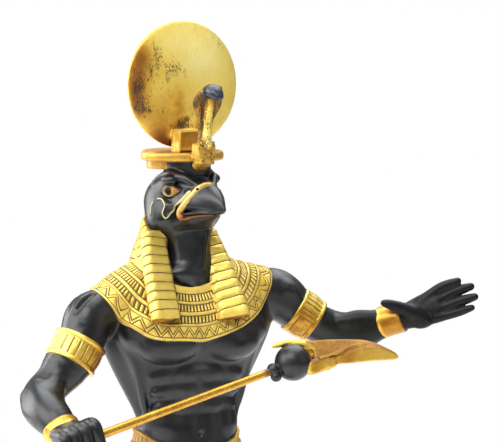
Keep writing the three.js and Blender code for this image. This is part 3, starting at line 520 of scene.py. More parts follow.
def collar_form():
    def f(x, y, z):
        base = torso_f(x, y, z)
        for s in chest[1:3]:
            base = smin(base, s.f(x, y, z), 3.0)
        for q in (chest[3], chest[4], chest[3 + SIDE], chest[4 + SIDE]):
            base = smin(base, q.f(x, y, z), 1.8)
        w = collar_w(x, y, z)
        return smax(smax(base - f32(0.95), -w, 0.5), w - f32(16.9), 0.4)

    return Form(f, (-37, -21, 179), (34, 18, 210), 0)


def round_collar(at=2.4):
    """Angle about the collar's middle against the distance walked along the line that lies `at` inside its edge."""
    q = collar_form()
    r, z = (a.ravel().astype(f32) for a in np.meshgrid(np.arange(9, 44, 0.3), np.arange(176, 207, 0.3)))
    ph = np.linspace(-math.pi, math.pi, 145)
    pts = []
    for p in ph:
        x, y = f32(COL_C[0]) + r * f32(math.sin(p)), f32(COL_C[1]) - r * f32(math.cos(p))
        k = (q.f(x, y, z) ** 2 + (collar_w(x, y, z) - f32(at)) ** 2).argmin()
        pts.append((x[k], y[k], z[k]))
    pts = np.array(pts, float)
    for _ in range(3):
        pts[1:-1] = (pts[:-2] + 2 * pts[1:-1] + pts[2:]) / 4
    arc = np.concatenate([[0], np.cumsum(np.linalg.norm(np.diff(pts, axis=0), axis=1))])
    arc -= np.interp(0, ph, arc)
    return ph, np.sign(arc) * (np.minimum(np.abs(arc), 13) + np.maximum(np.abs(arc) - 13, 0) * 0.70)


ROUND = round_collar()

# ------------------------------------------------------------------ arms
ARM_R = [[-31.4, -1.2, 191.4, 7.2, 7.4], [-35.0, -2.6, 189.6, 7.9, 8.3], [-37.6, -4.4, 184.0, 7.4, 7.7], [-42.4, -5.6, 177.0, 7.5, 7.6], [-47.8, -6.0, 171.0, 6.2, 6.3],
         [-51.9, -6.6, 167.2, 6.1, 6.1], [-53.9, -12.0, 165.2, 6.5, 6.4], [-54.9, -19.0, 163.3, 6.3, 6.1], [-54.3, -24.2, 160.9, 5.8, 5.6], [-53.2, -28.0, 157.8, 5.0, 4.8]]
ARM_L = [[31.3, 1.0, 195.8, 7.6, 8.2], [34.8, 0.4, 193.9, 7.8, 8.2], [38.7, -0.6, 190.2, 7.0, 7.2], [45.2, -2.4, 185.8, 6.3, 6.4], [50.7, -3.3, 182.9, 6.0, 6.0],
         [55.4, -4.5, 181.3, 6.2, 6.1], [59.1, -7.5, 182.5, 6.2, 6.1], [63.5, -11.8, 184.7, 5.2, 5.0], [68.6, -16.4, 187.0, 4.2, 4.0]]
arms = [chain(ARM_R, (1, 0, 0.3), 1.8, n=4), chain(ARM_L, (0, 0.3, 1), 1.8, n=4)]
arms += [
    # right shoulder's heads
    chain([[-31.6, -5.4, 195.4, 2.0], [-35.8, -7.0, 192.2, 2.6], [-39.2, -7.4, 188.8, 2.4], [-41.2, -7.2, 185.8, 1.5]], None, 0.8),
    chain([[-32.6, -0.8, 196.0, 2.2], [-36.2, -2.8, 193.0, 2.8], [-39.4, -4.2, 189.4, 2.6], [-41.2, -4.8, 186.2, 1.6]], None, 0.8),
    chain([[-33.0, 3.0, 195.6, 2.2], [-37.0, 2.4, 191.6, 2.6], [-40.4, 0.6, 187.0, 2.4], [-41.6, -1.4, 183.6, 1.5]], None, 0.9),
    chain([[-34.0, -4.6, 198.2, 0.7], [-37.6, -6.2, 196.0, 0.9], [-41.0, -7.4, 193.0, 0.6]], None, 1.3, "-"),
    chain([[-38.4, -1.2, 197.8, 0.6], [-41.6, -3.0, 194.8, 0.8], [-43.9, -4.4, 191.6, 0.5]], None, 1.2, "-"),
    # right upper arm: front and back
    muscle((-41.0, -8.2, 178.2), (5.0, 4.4, 8.2), tilted(ry=33), 1.3),
    muscle((-44.2, -2.8, 177.2), (5.0, 4.6, 8.6), tilted(ry=36), 1.4),
    # elbow and the forearm's upper ridge
    muscle((-53.0, -4.4, 166.2), (4.6, 4.0, 4.4), None, 1.4),
    chain([[-47.6, -8.4, 173.0, 2.8], [-50.6, -12.4, 169.2, 3.6], [-52.8, -18.0, 165.4, 3.0], [-53.4, -23.6, 162.6, 1.8]], None, 1.6),
    chain([[-57.4, -8.0, 166.4, 2.4], [-58.2, -14.0, 162.8, 2.9], [-57.6, -20.6, 160.2, 2.5], [-56.2, -24.6, 158.4, 1.6]], None, 1.8),
    # left shoulder
    chain([[31.3, -4.2, 199.4, 1.8], [34.4, -5.6, 197.0, 2.8], [37.0, -6.0, 194.0, 1.8], [38.4, -5.2, 191.8, 0.8]], None, 1.2),
    chain([[31.7, 1.6, 201.2, 1.8], [35.2, 0.8, 198.7, 2.8], [38.3, -0.2, 195.4, 2.0], [40.2, -1.0, 193.3, 1.2]], None, 1.2),
    chain([[31.7, 6.1, 199.0, 1.8], [35.2, 5.4, 196.0, 2.6], [38.2, 4.0, 192.6, 1.9]], None, 1.2),
    muscle((46.6, -5.0, 186.5), (6.4, 3.6, 3.9), tilted(ry=33), 1.3),
    muscle((46.4, -1.2, 183.4), (7.0, 3.9, 3.9), tilted(ry=31), 1.4),
    muscle((56.3, -3.8, 180.2), (4.0, 4.2, 4.2), None, 1.4),
    chain([[52.4, -8.4, 186.0, 2.4], [57.4, -10.4, 186.6, 3.3], [61.6, -13.8, 187.6, 2.0], [64.0, -15.0, 188.0, 0.8]], None, 1.5),
    chain([[59.4, -5.4, 179.1, 2.4], [62.8, -9.6, 180.8, 2.1], [65.0, -12.2, 182.8, 0.9]], None, 1.6),
    chain([[48.6, -3.6, 184.8, 5.0], [53.8, -4.8, 183.5, 5.2], [59.2, -8.2, 184.2, 4.8]], None, 1.6),
]

BAND_R = (arr(-38.0, -4.75, 183.6), arr(-42.8, -5.9, 176.1), 8.45, 8.35)
BAND_L = (arr(38.6, -0.5, 190.3), arr(45.3, -2.4, 185.7), 7.75, 7.3)
CUFF_R = (arr(-53.7, -26.1, 159.3), arr(-52.5, -30.0, 155.4), 6.0, 5.7)
CUFF_L = (arr(64.7, -12.7, 185.6), arr(70.4, -17.7, 187.7), 4.7, 4.6)


def band_profile(b, rim=0.22, width=0.12, dip=0.14, belly=0.3):
    a0, a1, r0, r1 = b
    rm = (r0 + r1) / 2
    return [(0, r0 - 0.15), (0.02, r0 + rim), (width, r0 + rim), (width + 0.045, r0 - dip), (0.5, rm - dip + belly), (0.955 - width, r1 - dip), (1 - width, r1 + rim), (0.98, r1 + rim), (1.0, r1 - 0.15)]


def band_coords(b, x, y, z, zero):
    """Distance along a band and the angle round it from the direction zero, both from its first end."""
    a, e = b[0], b[1]
    L = np.linalg.norm(e - a)
    t = unit(e - a)
    n1 = unit(np.asarray(zero, float) - t * np.dot(zero, t))
    n2 = np.cross(t, n1)
    d = [x - f32(a[0]), y - f32(a[1]), z - f32(a[2])]
    h = sum(d[i] * f32(t[i]) for i in range(3))
    c = sum(d[i] * f32(n1[i]) for i in range(3))
    s = sum(d[i] * f32(n2[i]) for i in range(3))
    return h, np.arctan2(s, c), f32(L)


bands = [tube_band(BAND_R[0], BAND_R[1], band_profile(BAND_R)), tube_band(BAND_L[0], BAND_L[1], band_profile(BAND_L, 0.14, 0.10, 0.02, 0.3)),
         tube_band(CUFF_R[0], CUFF_R[1], [(0, 5.9), (0.14, 6.15), (0.3, 6.0), (0.7, 5.9), (0.9, 5.95), (1.0, 5.7)]), tube_band(CUFF_L[0], CUFF_L[1], [(0, 5.1), (0.1, 5.35), (0.2, 5.2), (0.7, 5.0), (0.86, 4.95), (0.93, 5.05), (1.0, 4.8)])]

# ------------------------------------------------------------------ open hand
HAND = [
    [[75.4, -21.0, 193.0], [80.6, -23.4, 197.1], [83.4, -24.9, 198.6], [85.9, -26.5, 199.7]],
    [[78.4, -22.9, 192.2], [84.4, -25.9, 195.8], [87.1, -27.6, 197.1], [89.35, -29.2, 198.0]],
    [[79.0, -24.2, 190.1], [85.0, -27.9, 192.9], [87.7, -29.8, 194.0], [89.75, -31.3, 194.8]],
    [[78.4, -25.1, 187.6], [84.2, -28.7, 189.5], [86.5, -30.4, 190.5], [88.4, -31.8, 191.3]],
]
hand_l = []
for pts, r in zip(HAND, (1.7, 1.75, 1.7, 1.45)):
    hand_l.append(chain([[*p, r * q] for p, q in zip(pts, (1.08, 1.02, 0.94, 0.72))], None, 0.5, n=4))
hand_l += [
    chain([[68.0, -15.8, 187.0, 3.9, 3.6], [71.4, -18.8, 188.1, 4.3, 3.1], [75.0, -21.2, 189.6, 5.1, 2.7], [79.6, -24.2, 191.6, 5.0, 2.1]], unit(arr(*HAND[0][0]) - arr(*HAND[3][0])), 1.0, n=4),
    chain([[75.0, -21.8, 188.6, 2.7], [72.0, -21.6, 189.2, 2.6], [68.8, -21.3, 190.6, 2.2], [65.6, -20.8, 191.8, 1.85], [63.4, -20.2, 192.5, 1.5], [62.2, -19.8, 192.8, 1.1]], None, 0.9, n=4),
    # the ball of the thumb and the heel of the hand
    ell((72.4, -21.0, 189.0), (3.4, 2.6, 2.8), tilted(ry=-18), 1.0),
    ell((76.0, -22.2, 186.9), (4.0, 2.3, 2.5), tilted(ry=-22), 1.2),
    chain([[73.2, -24.6, 190.6, 0.5], [76.0, -25.4, 188.6, 0.6], [77.4, -25.4, 186.8, 0.4]], None, 0.8, "-"),
]

# ------------------------------------------------------------------ closed hand
ROD_EXIT, ROD_END = arr(-42.6, -35.8, 157.6), arr(16.2, -29.85, 173.3)
RD = unit(ROD_END - ROD_EXIT)
RF = unit(arr(0, -1, 0) + RD * RD[1])
RU = unit(np.cross(RF, RD))
if RU[2] < 0:
    RU = -RU
ROD_LEN = float(np.linalg.norm(ROD_END - ROD_EXIT))


def F(t, a, b):
    return ROD_EXIT + RD * t + RF * a + RU * b


hand_r = []
FP, FF = 3.6, -3.6
for i in range(4):
    t = FF - i * FP
    r = (1.95, 2.0, 1.95, 1.7)[i]
    path = [F(t, -2.8, 4.0), F(t, 0.6, 4.6 - 0.2 * i), F(t, 2.6, 3.9 - 0.2 * i), F(t, 3.42, 1.4), F(t, 3.2, -2.2), F(t, 0.6, -4.0), F(t, -2.2, -2.8)]
    hand_r.append(chain([[*p, r * q] for p, q in zip(path, (0.96, 1.04, 1.08, 1.0, 0.98, 0.94, 0.88))], None, 0.5, n=3))
_c = FF - 1.5 * FP
hand_r += [
    chain([[-53.4, -26.8, 158.9, 4.2, 4.0], [*F(_c - 0.4, -6.6, 3.4), 5.6, 3.6], [*F(_c, -3.0, 2.9), 6.4, 3.0], [*F(_c, -0.4, 2.3), 6.8, 2.4]], RD, 1.2, n=4),
    chain([[*F(_c, -4.8, 2.2), 5.8, 2.8], [*F(_c, -3.6, -1.2), 6.4, 2.2]], RD, 1.0, n=3),
    chain([[*F(-2.6, -5.2, 3.0), 2.2], [*F(-0.9, -3.8, -1.6), 2.0], [*F(-1.8, 0.2, -4.6), 1.9], [*F(-4.2, 2.6, -5.4), 1.6]], None, 0.7, n=3),
]
rod_hole = chain([[*F(-30, 0, 0), 1.6], [*F(12, 0, 0), 1.6]], None, 0.15, "-", n=1)

# ------------------------------------------------------------------ kilt, belt, legs, feet
KILT = table([[88.0, 24.6, 22.0, 21.0], [92.0, 24.6, 22.0, 21.0], [96.0, 24.4, 21.6, 20.8], [104.0, 23.8, 20.4, 20.2], [114.0, 23.2, 18.8, 19.4], [124.0, 22.4, 17.0, 18.2],
              [134.0, 21.0, 15.2, 16.4], [142.0, 19.4, 13.9, 14.6], [149.0, 17.3, 12.7, 12.8], [158.0, 16.2, 11.8, 11.4]])
BELT_SIDE, BELT_DIP = 152.6, 6.4


def waist(x, y, z, tab=KILT):
    a = look(tab, 0, z)
    b = np.where(y < 0, look(tab, 1, z), look(tab, 2, z))
    e = f32(2.2)
    nrm = (np.abs(x / a) ** e + np.abs(y / b) ** e) ** (1 / e)
    rho = np.sqrt(x * x + y * y)
    d = rho * (1 - 1 / np.maximum(nrm, f32(0.05)))
    # cos of the section's own angle, so the belt dips in front
    c = -y / b / np.maximum(nrm, f32(0.05))
    return np.where(nrm < 0.35, -4, d), np.clip(c, -1, 1), np.arctan2(x / a, -y / b)


def belt_top(c):
    return BELT_SIDE - np.where(c > 0, BELT_DIP, -0.8) * c * c


PLEATS = 46


def pleat(th, z):
    """Height of the pleats: ridges fanning out from the front panel."""
    v = np.abs(th) * PLEATS / (2 * math.pi) + (z - 92) * 0.012 * np.sign(np.cos(th))
    w = v - np.floor(v)
    return w, v


def kilt_form():
    def f(x, y, z):
        d, c, th = waist(x, y, z)
        w, _ = pleat(th, z)
        fade = ramp(z, 146, 140) * ramp(np.abs(th), 0.22, 0.34)
        d = d * f32(0.95) - (f32(0.42) * w - f32(0.2)).astype(f32) * fade.astype(f32)
        hem = f32(92.0) + f32(0.25) * np.cos(th * 23)
        return smax(d, np.maximum(z - belt_top(c), hem - z), 0.5).astype(f32)

    return Form(f, (-26, -24, 91), (26, 22, 154), 0)


def belt_form():
    def f(x, y, z):
        d, c, th = waist(x, y, z)
        v = belt_top(c) + f32(0.3) - z
        h = 0.55 + 0.42 * (1 - ramp(v, 0.75, 1.0)) + 0.42 * ramp(v, 4.0, 4.25)
        return smax(d * f32(0.97) - h.astype(f32), np.maximum(-v, v - f32(5.0)), 0.3).astype(f32)

    return Form(f, (-21, -16, 139), (21, 16, 155), 0)


def buckle():
    return ell((0, -13.6, 143.6), (4.4, 2.0, 3.6), None, 0.4)


APRON = [[0, -12.9, 143.0, 3.0, 1.0], [0, -15.2, 136.0, 4.1, 1.1], [0, -17.7, 124.0, 5.4, 1.1], [0, -20.3, 110.0, 6.7, 1.1], [0, -22.3, 98.0, 7.7, 1.1], [0, -23.0, 93.6, 8.0, 1.0]]
apron = chain(APRON, (1, 0, 0), 0.4, kind="box", corner=0.7)

LEG_L = [[9.5, -1.0, 124.0, 11.0, 12.0], [10.6, -4.0, 108.0, 10.2, 11.2], [11.6, -7.2, 92.0, 8.6, 9.6], [12.1, -9.0, 79.0, 6.9, 7.4], [12.3, -7.8, 70.0, 6.4, 7.1],
         [12.6, -6.0, 58.0, 6.9, 7.7], [12.8, -5.8, 44.0, 5.3, 5.9], [12.9, -5.6, 30.0, 3.9, 4.4], [12.9, -5.6, 21.0, 3.8, 4.5]]
LEG_R = [[-9.5, 1.0, 124.0, 11.0, 12.0], [-10.4, 1.6, 108.0, 10.2, 11.2], [-11.2, 2.2, 92.0, 8.6, 9.6], [-11.8, 3.0, 79.0, 6.9, 7.4], [-12.1, 5.6, 70.0, 6.4, 7.1],
         [-12.6, 9.6, 58.0, 6.9, 7.7], [-13.0, 13.6, 44.0, 5.3, 5.9], [-13.4, 16.6, 30.0, 3.9, 4.4], [-13.5, 17.6, 21.0, 3.8, 4.5]]
SOLE = 12.3
legs = [chain(LEG_L, (1, 0, 0), 1.2, n=4), chain(LEG_R, (1, 0, 0), 1.2, n=4)]
for m, y0 in ((1, -9.0), (-1, 3.2)):
    x0 = 12.1 * m
    legs += [
        ell((x0, y0 - 4.6, 79.0), (4.2, 3.4, 4.6), None, 1.6),
        ell((x0 + m * 0.6, y0 - 3.4, 71.0), (3.4, 3.2, 3.0), None, 1.6),
        ell((x0 + m * 3.8, y0 + (2 if m > 0 else 5.6), 62.0), (4.0, 5.4, 9.5), None, 2.0),
        ell((x0 - m * 3.4, y0 + (2.4 if m > 0 else 6.0), 60.0), (4.0, 5.4, 9.0), None, 2.0),
        ell((x0 + m * 2.5, y0 - 1.0, 89.0), (5.4, 7.0, 8.0), None, 2.0),
        ell((x0 - m * 3.0, y0 - 1.0, 87.0), (5.0, 6.4, 7.0), None, 2.0),
    ]


def foot(x, y, turn, ln):
    d = arr(math.sin(turn), -math.cos(turn), 0)
    sd = arr(math.cos(turn), math.sin(turn), 0)

    def at(t, s, z):
        p = arr(x, y, 0) + d * (t * ln) + sd * s
        return [p[0], p[1], SOLE + z]

    m = 1 if x > 0 else -1
    out = [
        chain([[*at(-0.13, 0, 3.4), 4.0, 4.2], [*at(0.02, 0, 5.4), 4.1, 6.6], [*at(0.2, 0.2, 4.0), 4.2, 5.0], [*at(0.4, 0.3 * m, 2.8), 4.9, 3.4], [*at(0.56, 0.3 * m, 1.7), 5.3, 2.2]], sd, 1.4, n=4),
        chain([[*at(-0.01, 0, 12.0), 3.9, 4.5], [*at(0.0, 0, 6.0), 4.2, 5.4]], sd, 1.2, n=2),
        ell(arr(*at(0.0, 3.9, 8.6)), (1.7, 2.0, 2.0), None, 1.4),
        ell(arr(*at(0.0, -3.9, 8.9)), (1.7, 2.0, 2.0), None, 1.4),
    ]
    big = -m
    for i in range(5):
        s = big * (3.7 - i * 2.0) * 0.98
        r = (1.75, 1.25, 1.15, 1.1, 1.05)[i]
        e = (0.76, 0.775, 0.75, 0.715, 0.67)[i]
        out.append(chain([[*at(0.52, s * 0.92, 1.9), r], [*at(e - 0.09, s, 1.9 if i else 1.8), r], [*at(e, s, 1.2), r * 0.82]], None, 0.5, n=3))
    return out


feet = foot(12.9, -5.6, 0.1, 31.0) + foot(-13.5, 17.6, -0.24, 31.0)


def floor_form():
    return Form(lambda x, y, z: (z - f32(SOLE)), (-60, -60, 0), (60, 60, 16), 0.0, "-")


# ------------------------------------------------------------------ crown
DYAW = math.radians(9)
DS, DF = arr(math.cos(DYAW), math.sin(DYAW), 0), arr(math.sin(DYAW), -math.cos(DYAW), 0)
DISC_C = H(0, 0.4, 264.75)
DISC_R = 20.6


def disc_form():
    def f(x, y, z):
        dx, dy, dz = x - f32(DISC_C[0]), y - f32(DISC_C[1]), z - f32(DISC_C[2])
        n = dx * f32(DF[0]) + dy * f32(DF[1])
        s = dx * f32(DS[0]) + dy * f32(DS[1])
        r = np.sqrt(s * s + dz * dz)
        q = np.clip(r / f32(DISC_R - 0.4), 0, 1)
        front = f32(0.75) + f32(2.6) * (1 - q * q) ** f32(0.8)
        back = f32(0.75) + f32(1.2) * (1 - q * q)
        d = np.where(n > 0, n - front, -n - back) * f32(0.93)
        return smax(d, r - f32(DISC_R), 0.8)

    return Form(f, DISC_C - 21, DISC_C + 21, 0)


def plate_form():
    c = H(0, 0.5, 242.05)

    def f(x, y, z):
        dx, dy = x - f32(c[0]), y - f32(c[1])
        s = dx * f32(HS[0]) + dy * f32(HS[1])
        q = dx * f32(HF[0]) + dy * f32(HF[1])
        nrm = np.sqrt((s / f32(14.6)) ** 2 + (q / f32(10.4)) ** 2)
        d = (nrm - 1) * f32(11.5)
        rim = ramp(nrm, 0.86, 0.92)
        lean = f32(-0.055) * q  # the plate leans forward a little
        up = z - (f32(243.3) + f32(0.12) * rim) - lean
        dn = f32(240.2) - z + lean * f32(0.5)
        return smax(d, np.maximum(up, dn), 1.3).astype(f32)

    return Form(f, c - 15, c + 15, 0)


def ring_form():
    c = H(0, -3.4, 238.8)

    def f(x, y, z):
        dx, dy = x - f32(c[0]), y - f32(c[1])
        r = np.sqrt(dx * dx + dy * dy)
        return smax(r - f32(9.5), np.maximum(f32(237.4) - z, z - f32(240.8)), 0.7)

    return Form(f, c - 11, c + 11, 0)


COBRA = [[10.8, 239.0, 3.0, 2.0], [12.6, 241.0, 3.3, 2.3], [12.8, 244.0, 2.9, 1.9], [12.9, 247.0, 2.5, 1.6], [13.1, 250.4, 2.5, 1.5], [13.4, 253.4, 2.8, 1.4], [13.8, 255.6, 4.2, 1.2],
         [14.2, 257.6, 5.3, 1.1], [14.6, 259.8, 5.6, 1.15], [15.1, 261.8, 4.6, 1.4], [15.6, 263.2, 2.6, 1.5]]
crown = [disc_form(), plate_form(), ring_form(),
         # the raised block behind the cobra, with a sunk panel
         block(H(0.2, 4.4, 246.6), (5.7, 2.7, 3.5), HEAD_AXES, 0.35, 0.25),
         block(H(0.2, 7.3, 246.8), (5.05, 0.85, 2.6), HEAD_AXES, 0.3, 0.15, "-"),
         block(H(-5.8, 4.7, 246.6), (0.6, 1.4, 2.3), HEAD_AXES, 0.25, 0.15, "-"), block(H(6.3, 4.7, 246.6), (0.6, 1.4, 2.3), HEAD_AXES, 0.25, 0.15, "-"),
         chain([[*H(1.5, 2.4, 250.0), 3.0, 1.8], [*H(3.0, 2.2, 253.0), 2.0, 1.6], [*H(4.6, 2.0, 256.0), 1.0, 1.2]], HS, 0.6, n=3),
         chain([[*H(0, a, b), c, d] for a, b, c, d in COBRA], HS, 0.35, n=4),
         # the column up the cobra's front
         chain([[*H(0, 14.5, 245.0), 1.5], [*H(0, 14.6, 249.0), 1.35], [*H(0, 15.0, 253.0), 1.3], [*H(0, 15.7, 256.6), 1.3], [*H(0, 16.4, 260.4), 1.3]], None, 0.15),
         # its coiled foot over the plate's front
         block(H(0, 12.4, 243.4), (3.5, 2.2, 2.6), HEAD_AXES, 0.8, 0.4),
         block(H(0, 13.0, 241.0), (2.9, 2.0, 1.9), HEAD_AXES, 0.9, 0.5),
         chain([[*H(-2.2, 14.6, 246.2), 0.55], [*H(0, 15.0, 246.3), 0.6], [*H(2.2, 14.6, 246.2), 0.55]], None, 0.25)]
crown += both(lambda m: chain([[*H(m * 1.8, 14.8, 247.6), 0.5], [*H(m * 1.9, 14.9, 252.0), 0.7], [*H(m * 2.1, 15.3, 256.0), 0.75], [*H(m * 2.5, 15.9, 259.4), 0.6]], None, 0.2, "-"))
cobra_head = [chain([[*H(0, 15.4, 262.4), 2.4, 1.9], [*H(0, 17.0, 262.8), 3.1, 2.4], [*H(0, 18.8, 262.2), 2.8, 2.2], [*H(0, 20.4, 261.2), 1.9, 1.5]], HS, 0.4, n=4)]
cobra_head += both(lambda m: ell(H(m * 2.0, 18.2, 263.8), (0.85, 1.0, 0.8), HEAD_AXES, 0.3))

# ------------------------------------------------------------------ the casting's parts and their paint
skin = Part(chest + arms + hand_l + hand_r + [rod_hole] + legs + feet + [floor_form()])
eye_part = Part(both(lambda m: eye_ell(m, -0.9, 0.0, -0.1, (1.8, 4.2, 2.75))) + both(lambda m: eye_ell(m, -0.3, 3.1, -0.1, (1.1, 2.4, 1.45), 0.8)))
head_part = Part(head)
cere_part = Part(cere, True)
wig_part = Part(wig, True)
collar_part = Part([collar_form()], True)
band_part = Part(bands, True)
kilt_part = Part([kilt_form(), apron], True)
belt_part = Part([belt_form(), buckle()], True)
crown_part = Part(crown, True)
cobra_part = Part(cobra_head)
PARTS = [skin, head_part, cere_part, wig_part, collar_part, band_part, kilt_part, belt_part, crown_part, cobra_part, eye_part]
BLEND = 0.22


def lappet_v(x, y, z, rows):
    s = smooth([r[:3] for r in rows], 6)
    L = np.concatenate([[0], np.cumsum(np.linalg.norm(np.diff(s, axis=0), axis=1))])
    best = np.full(x.shape, 1e9, f32)
    v = np.zeros(x.shape, f32)
    for i in range(len(s) - 1):
        a, ba = s[i], s[i + 1] - s[i]
        bb = float(np.dot(ba, ba))
        px, py, pz = x - f32(a[0]), y - f32(a[1]), z - f32(a[2])
        h = (px * f32(ba[0]) + py * f32(ba[1]) + pz * f32(ba[2])) * f32(1 / bb)
        hc = np.clip(h, -0.0 if i else -9, 1 if i < len(s) - 2 else 9)
        d = (px - hc * f32(ba[0])) ** 2 + (py - hc * f32(ba[1])) ** 2 + (pz - hc * f32(ba[2])) ** 2
        m = d < best
        best = np.where(m, d, best)
        v = np.where(m, f32(L[i]) + hc * f32(math.sqrt(bb)), v)
    return v, np.sqrt(best)


WIG_STEP = 3.2


def wig_v(x, y, z):
    """The engraved lines run where this is a whole number."""
    vr, dr = lappet_v(x, y, z, LAPPET_R)
    vl, dl = lappet_v(x, y, z, LAPPET_L)
    # behind: lines level round the wig, dropping a little to the sides
    vb = (f32(222.2) - z) * f32(1.14) + f32(0.3)
    tr = ramp(dr, 8.4, 6.8)
    tl = ramp(dl, 8.0, 6.4)
    v = vb
    v = v * (1 - tr) + (vr + f32(0.13) * (x - f32(-13.6))) * tr
    v = v * (1 - tl) + (vl + f32(0.03) * (x - f32(9))) * tl
    return (v / f32(WIG_STEP)).astype(f32)


def near_line(v, half):
    """1 in the middle of each whole-number line, 0 outside it; half is in the same units as v."""
    return np.clip(1 - np.abs(v - np.round(v)) / half, 0, 1)


def soft(t):
    t = np.clip(t, 0, 1)
    return t * t * (3 - 2 * t)


# ------------------------------------------------------------------ collar pattern
# each row of ribs: inner and outer distance from the collar's edge, and ribs per millimetre of the base line
RIBS = [(5.3, 7.45, 0.76), (8.75, 10.95, 0.74), (12.1, 14.5, 0.68)]
ZIG = 3.7
ZLO, ZHI = 1.05, 3.75


def zigzag(w, u):
    """Distance from the zigzag's middle line."""
    t = np.abs(2 * (u / ZIG - np.floor(u / ZIG)) - 1)
    slope = (ZHI - ZLO) / (ZIG / 2)
    return np.abs(w - (ZLO + (ZHI - ZLO) * t)) / math.sqrt(1 + slope * slope)


def collar_relief(w, u):
    h = np.zeros_like(w)
    z = np.abs(zigzag(w, u) - 0.36)
    h -= 0.2 * soft(1 - z / 0.24) * ramp(w, 0.5, 0.8) * ramp(w, 4.15, 3.9)
    h -= 0.12 * soft(1 - np.abs(w - 0.62) / 0.22)
    for a, b, k in RIBS:
        v = u * k
        inside = ramp(w, a - 0.08, a + 0.16) * ramp(w, b + 0.08, b - 0.16)
        rib = 1 - soft(near_line(v, 0.26) * 1.15)
        h -= inside * (0.42 - 0.36 * rib)
    for c in (4.75, 8.1, 11.52):
        h += 0.16 * soft(1 - np.abs(w - c) / 0.42)
    h += 0.16 * ramp(w, 14.9, 15.3)
    return h


# ------------------------------------------------------------------ armbands and cuffs
def in_band(b, x, y, z, zero, margin=0.8):
    a, th, L = band_coords(b, x, y, z, zero)
    c = (b[0] + b[1]) / 2
    m = (a > -margin) & (a < L + margin) & ((x - f32(c[0])) ** 2 + (y - f32(c[1])) ** 2 + (z - f32(c[2])) ** 2 < 15 ** 2)
    return a, th, L, m


ZERO_R, ZERO_L = (-0.3, -1, 0.2), (0.25, -1, 0.25)
BARS_R = 19


def band_r_pattern(a, th, L):
    """Grooves between the upright bars of the right armband: 1 in a groove."""
    v = th * BARS_R / (2 * math.pi) + 0.12 * np.sin(th * 3.0)
    inner = ramp(a, L * 0.17, L * 0.24) * ramp(a, L * 0.86, L * 0.79)
    g = soft(near_line(v, 0.13))
    k = np.round(v)
    # short nicks at the upper end of every third bar
    nick = soft(near_line(v + 0.5, 0.1)) * ramp(a, L * 0.2, L * 0.24) * ramp(a, L * 0.42, L * 0.36) * (np.mod(np.floor(v + 0.5), 3) == 0)
    return np.maximum(g * inner, nick)


# the left armband's lines, as angles round the arm from its front
L_LINES = (-0.55, -0.27, -0.04, 0.28)


def band_l_pattern(a, th, L):
    inner = ramp(a, L * 0.12, L * 0.17) * ramp(a, L * 0.90, L * 0.85)
    g = np.zeros_like(a)
    for c in L_LINES:
        g = np.maximum(g, soft(1 - np.abs(th - c) * 7.6 / 0.34))
    for c in (2.2, 2.8, -2.9, -2.3, -1.7, -1.1):
        g = np.maximum(g, soft(1 - np.abs(th - c) * 7.6 / 0.3))
    # the framed panel below them
    pu, pv = np.abs((th - 1.08) * 7.6), np.abs(a - L * 0.5)
    frame = np.maximum(pu - 3.7, pv - 2.45)
    g = np.maximum(g, 0.8 * soft(1 - np.abs(frame) / 0.3) * (frame < 0.4))
    small = np.maximum(np.abs((th - 0.98) * 7.6) - 1.1, np.abs(a - L * 0.64) - 0.5)
    g = np.maximum(g, 0.5 * soft(1 - np.abs(small) / 0.24))
    small = np.maximum(np.abs((th - 1.26) * 7.6) - 0.7, np.abs(a - L * 0.4) - 0.3)
    g = np.maximum(g, 0.4 * soft(1 - np.abs(small) / 0.22))
    return g * inner


# ------------------------------------------------------------------ head lines, as distances in the side view (f, z)
CHEEK = [
    [(-0.6, 226.9), (-1.2, 225.9), (-1.4, 224.6), (-1.2, 223.0)],
    [(1.2, 228.0), (2.45, 228.1), (3.6, 227.2), (4.5, 226.0), (4.2, 224.7), (4.0, 223.4), (4.75, 222.0), (5.6, 222.2), (6.5, 223.7), (7.8, 225.3), (9.4, 226.7), (10.7, 227.6), (11.7, 228.5), (12.5, 229.5), (13.0, 230.5)],
]


def line_2d(pts, f, z):
    """Distance to a smooth line through pts, and how far along it, 0 to 1."""
    s = smooth(pts, 6)
    best = np.full(f.shape, 1e9, f32)
    at = np.zeros(f.shape, f32)
    n = len(s) - 1
    for i in range(n):
        a, b = s[i], s[i + 1] - s[i]
        h = np.clip(((f - f32(a[0])) * f32(b[0]) + (z - f32(a[1])) * f32(b[1])) / f32(np.dot(b, b)), 0, 1)
        d = (f - f32(a[0]) - h * f32(b[0])) ** 2 + (z - f32(a[1]) - h * f32(b[1])) ** 2
        m = d < best
        best = np.where(m, d, best)
        at = np.where(m, (i + h) / n, at)
    return np.sqrt(best), at


def cheek_distance(x, y, z):
    """Signed distance to the painted cheek lines: below zero on the paint."""
    s, f, _ = head_coords(x, y, z)
    out = np.full(x.shape, 9.0, f32)
    for k, pts in enumerate(CHEEK):
        d, at = line_2d(pts, f, z)
        wide = 0.2 + (0.36 * ramp(at, 0.66, 0.86) if k else 0)
        out = np.minimum(out, d - wide)
    return np.where(np.abs(s) > 3.0, out, 9.0)


def eye_coords(x, y, z):
    """Forward and up on the nearer eye's face, from its centre."""
    s, f, _ = head_coords(x, y, z)
    return (f - f32(5.3)) * f32(0.941) - (np.abs(s) - f32(8.3)) * f32(0.34), z - f32(230.8)


# ------------------------------------------------------------------ relief along the normal
N_SKIN, N_HEAD, N_CERE, N_WIG, N_COLLAR, N_BAND, N_KILT, N_BELT, N_CROWN, N_COBRA, N_EYE = range(11)


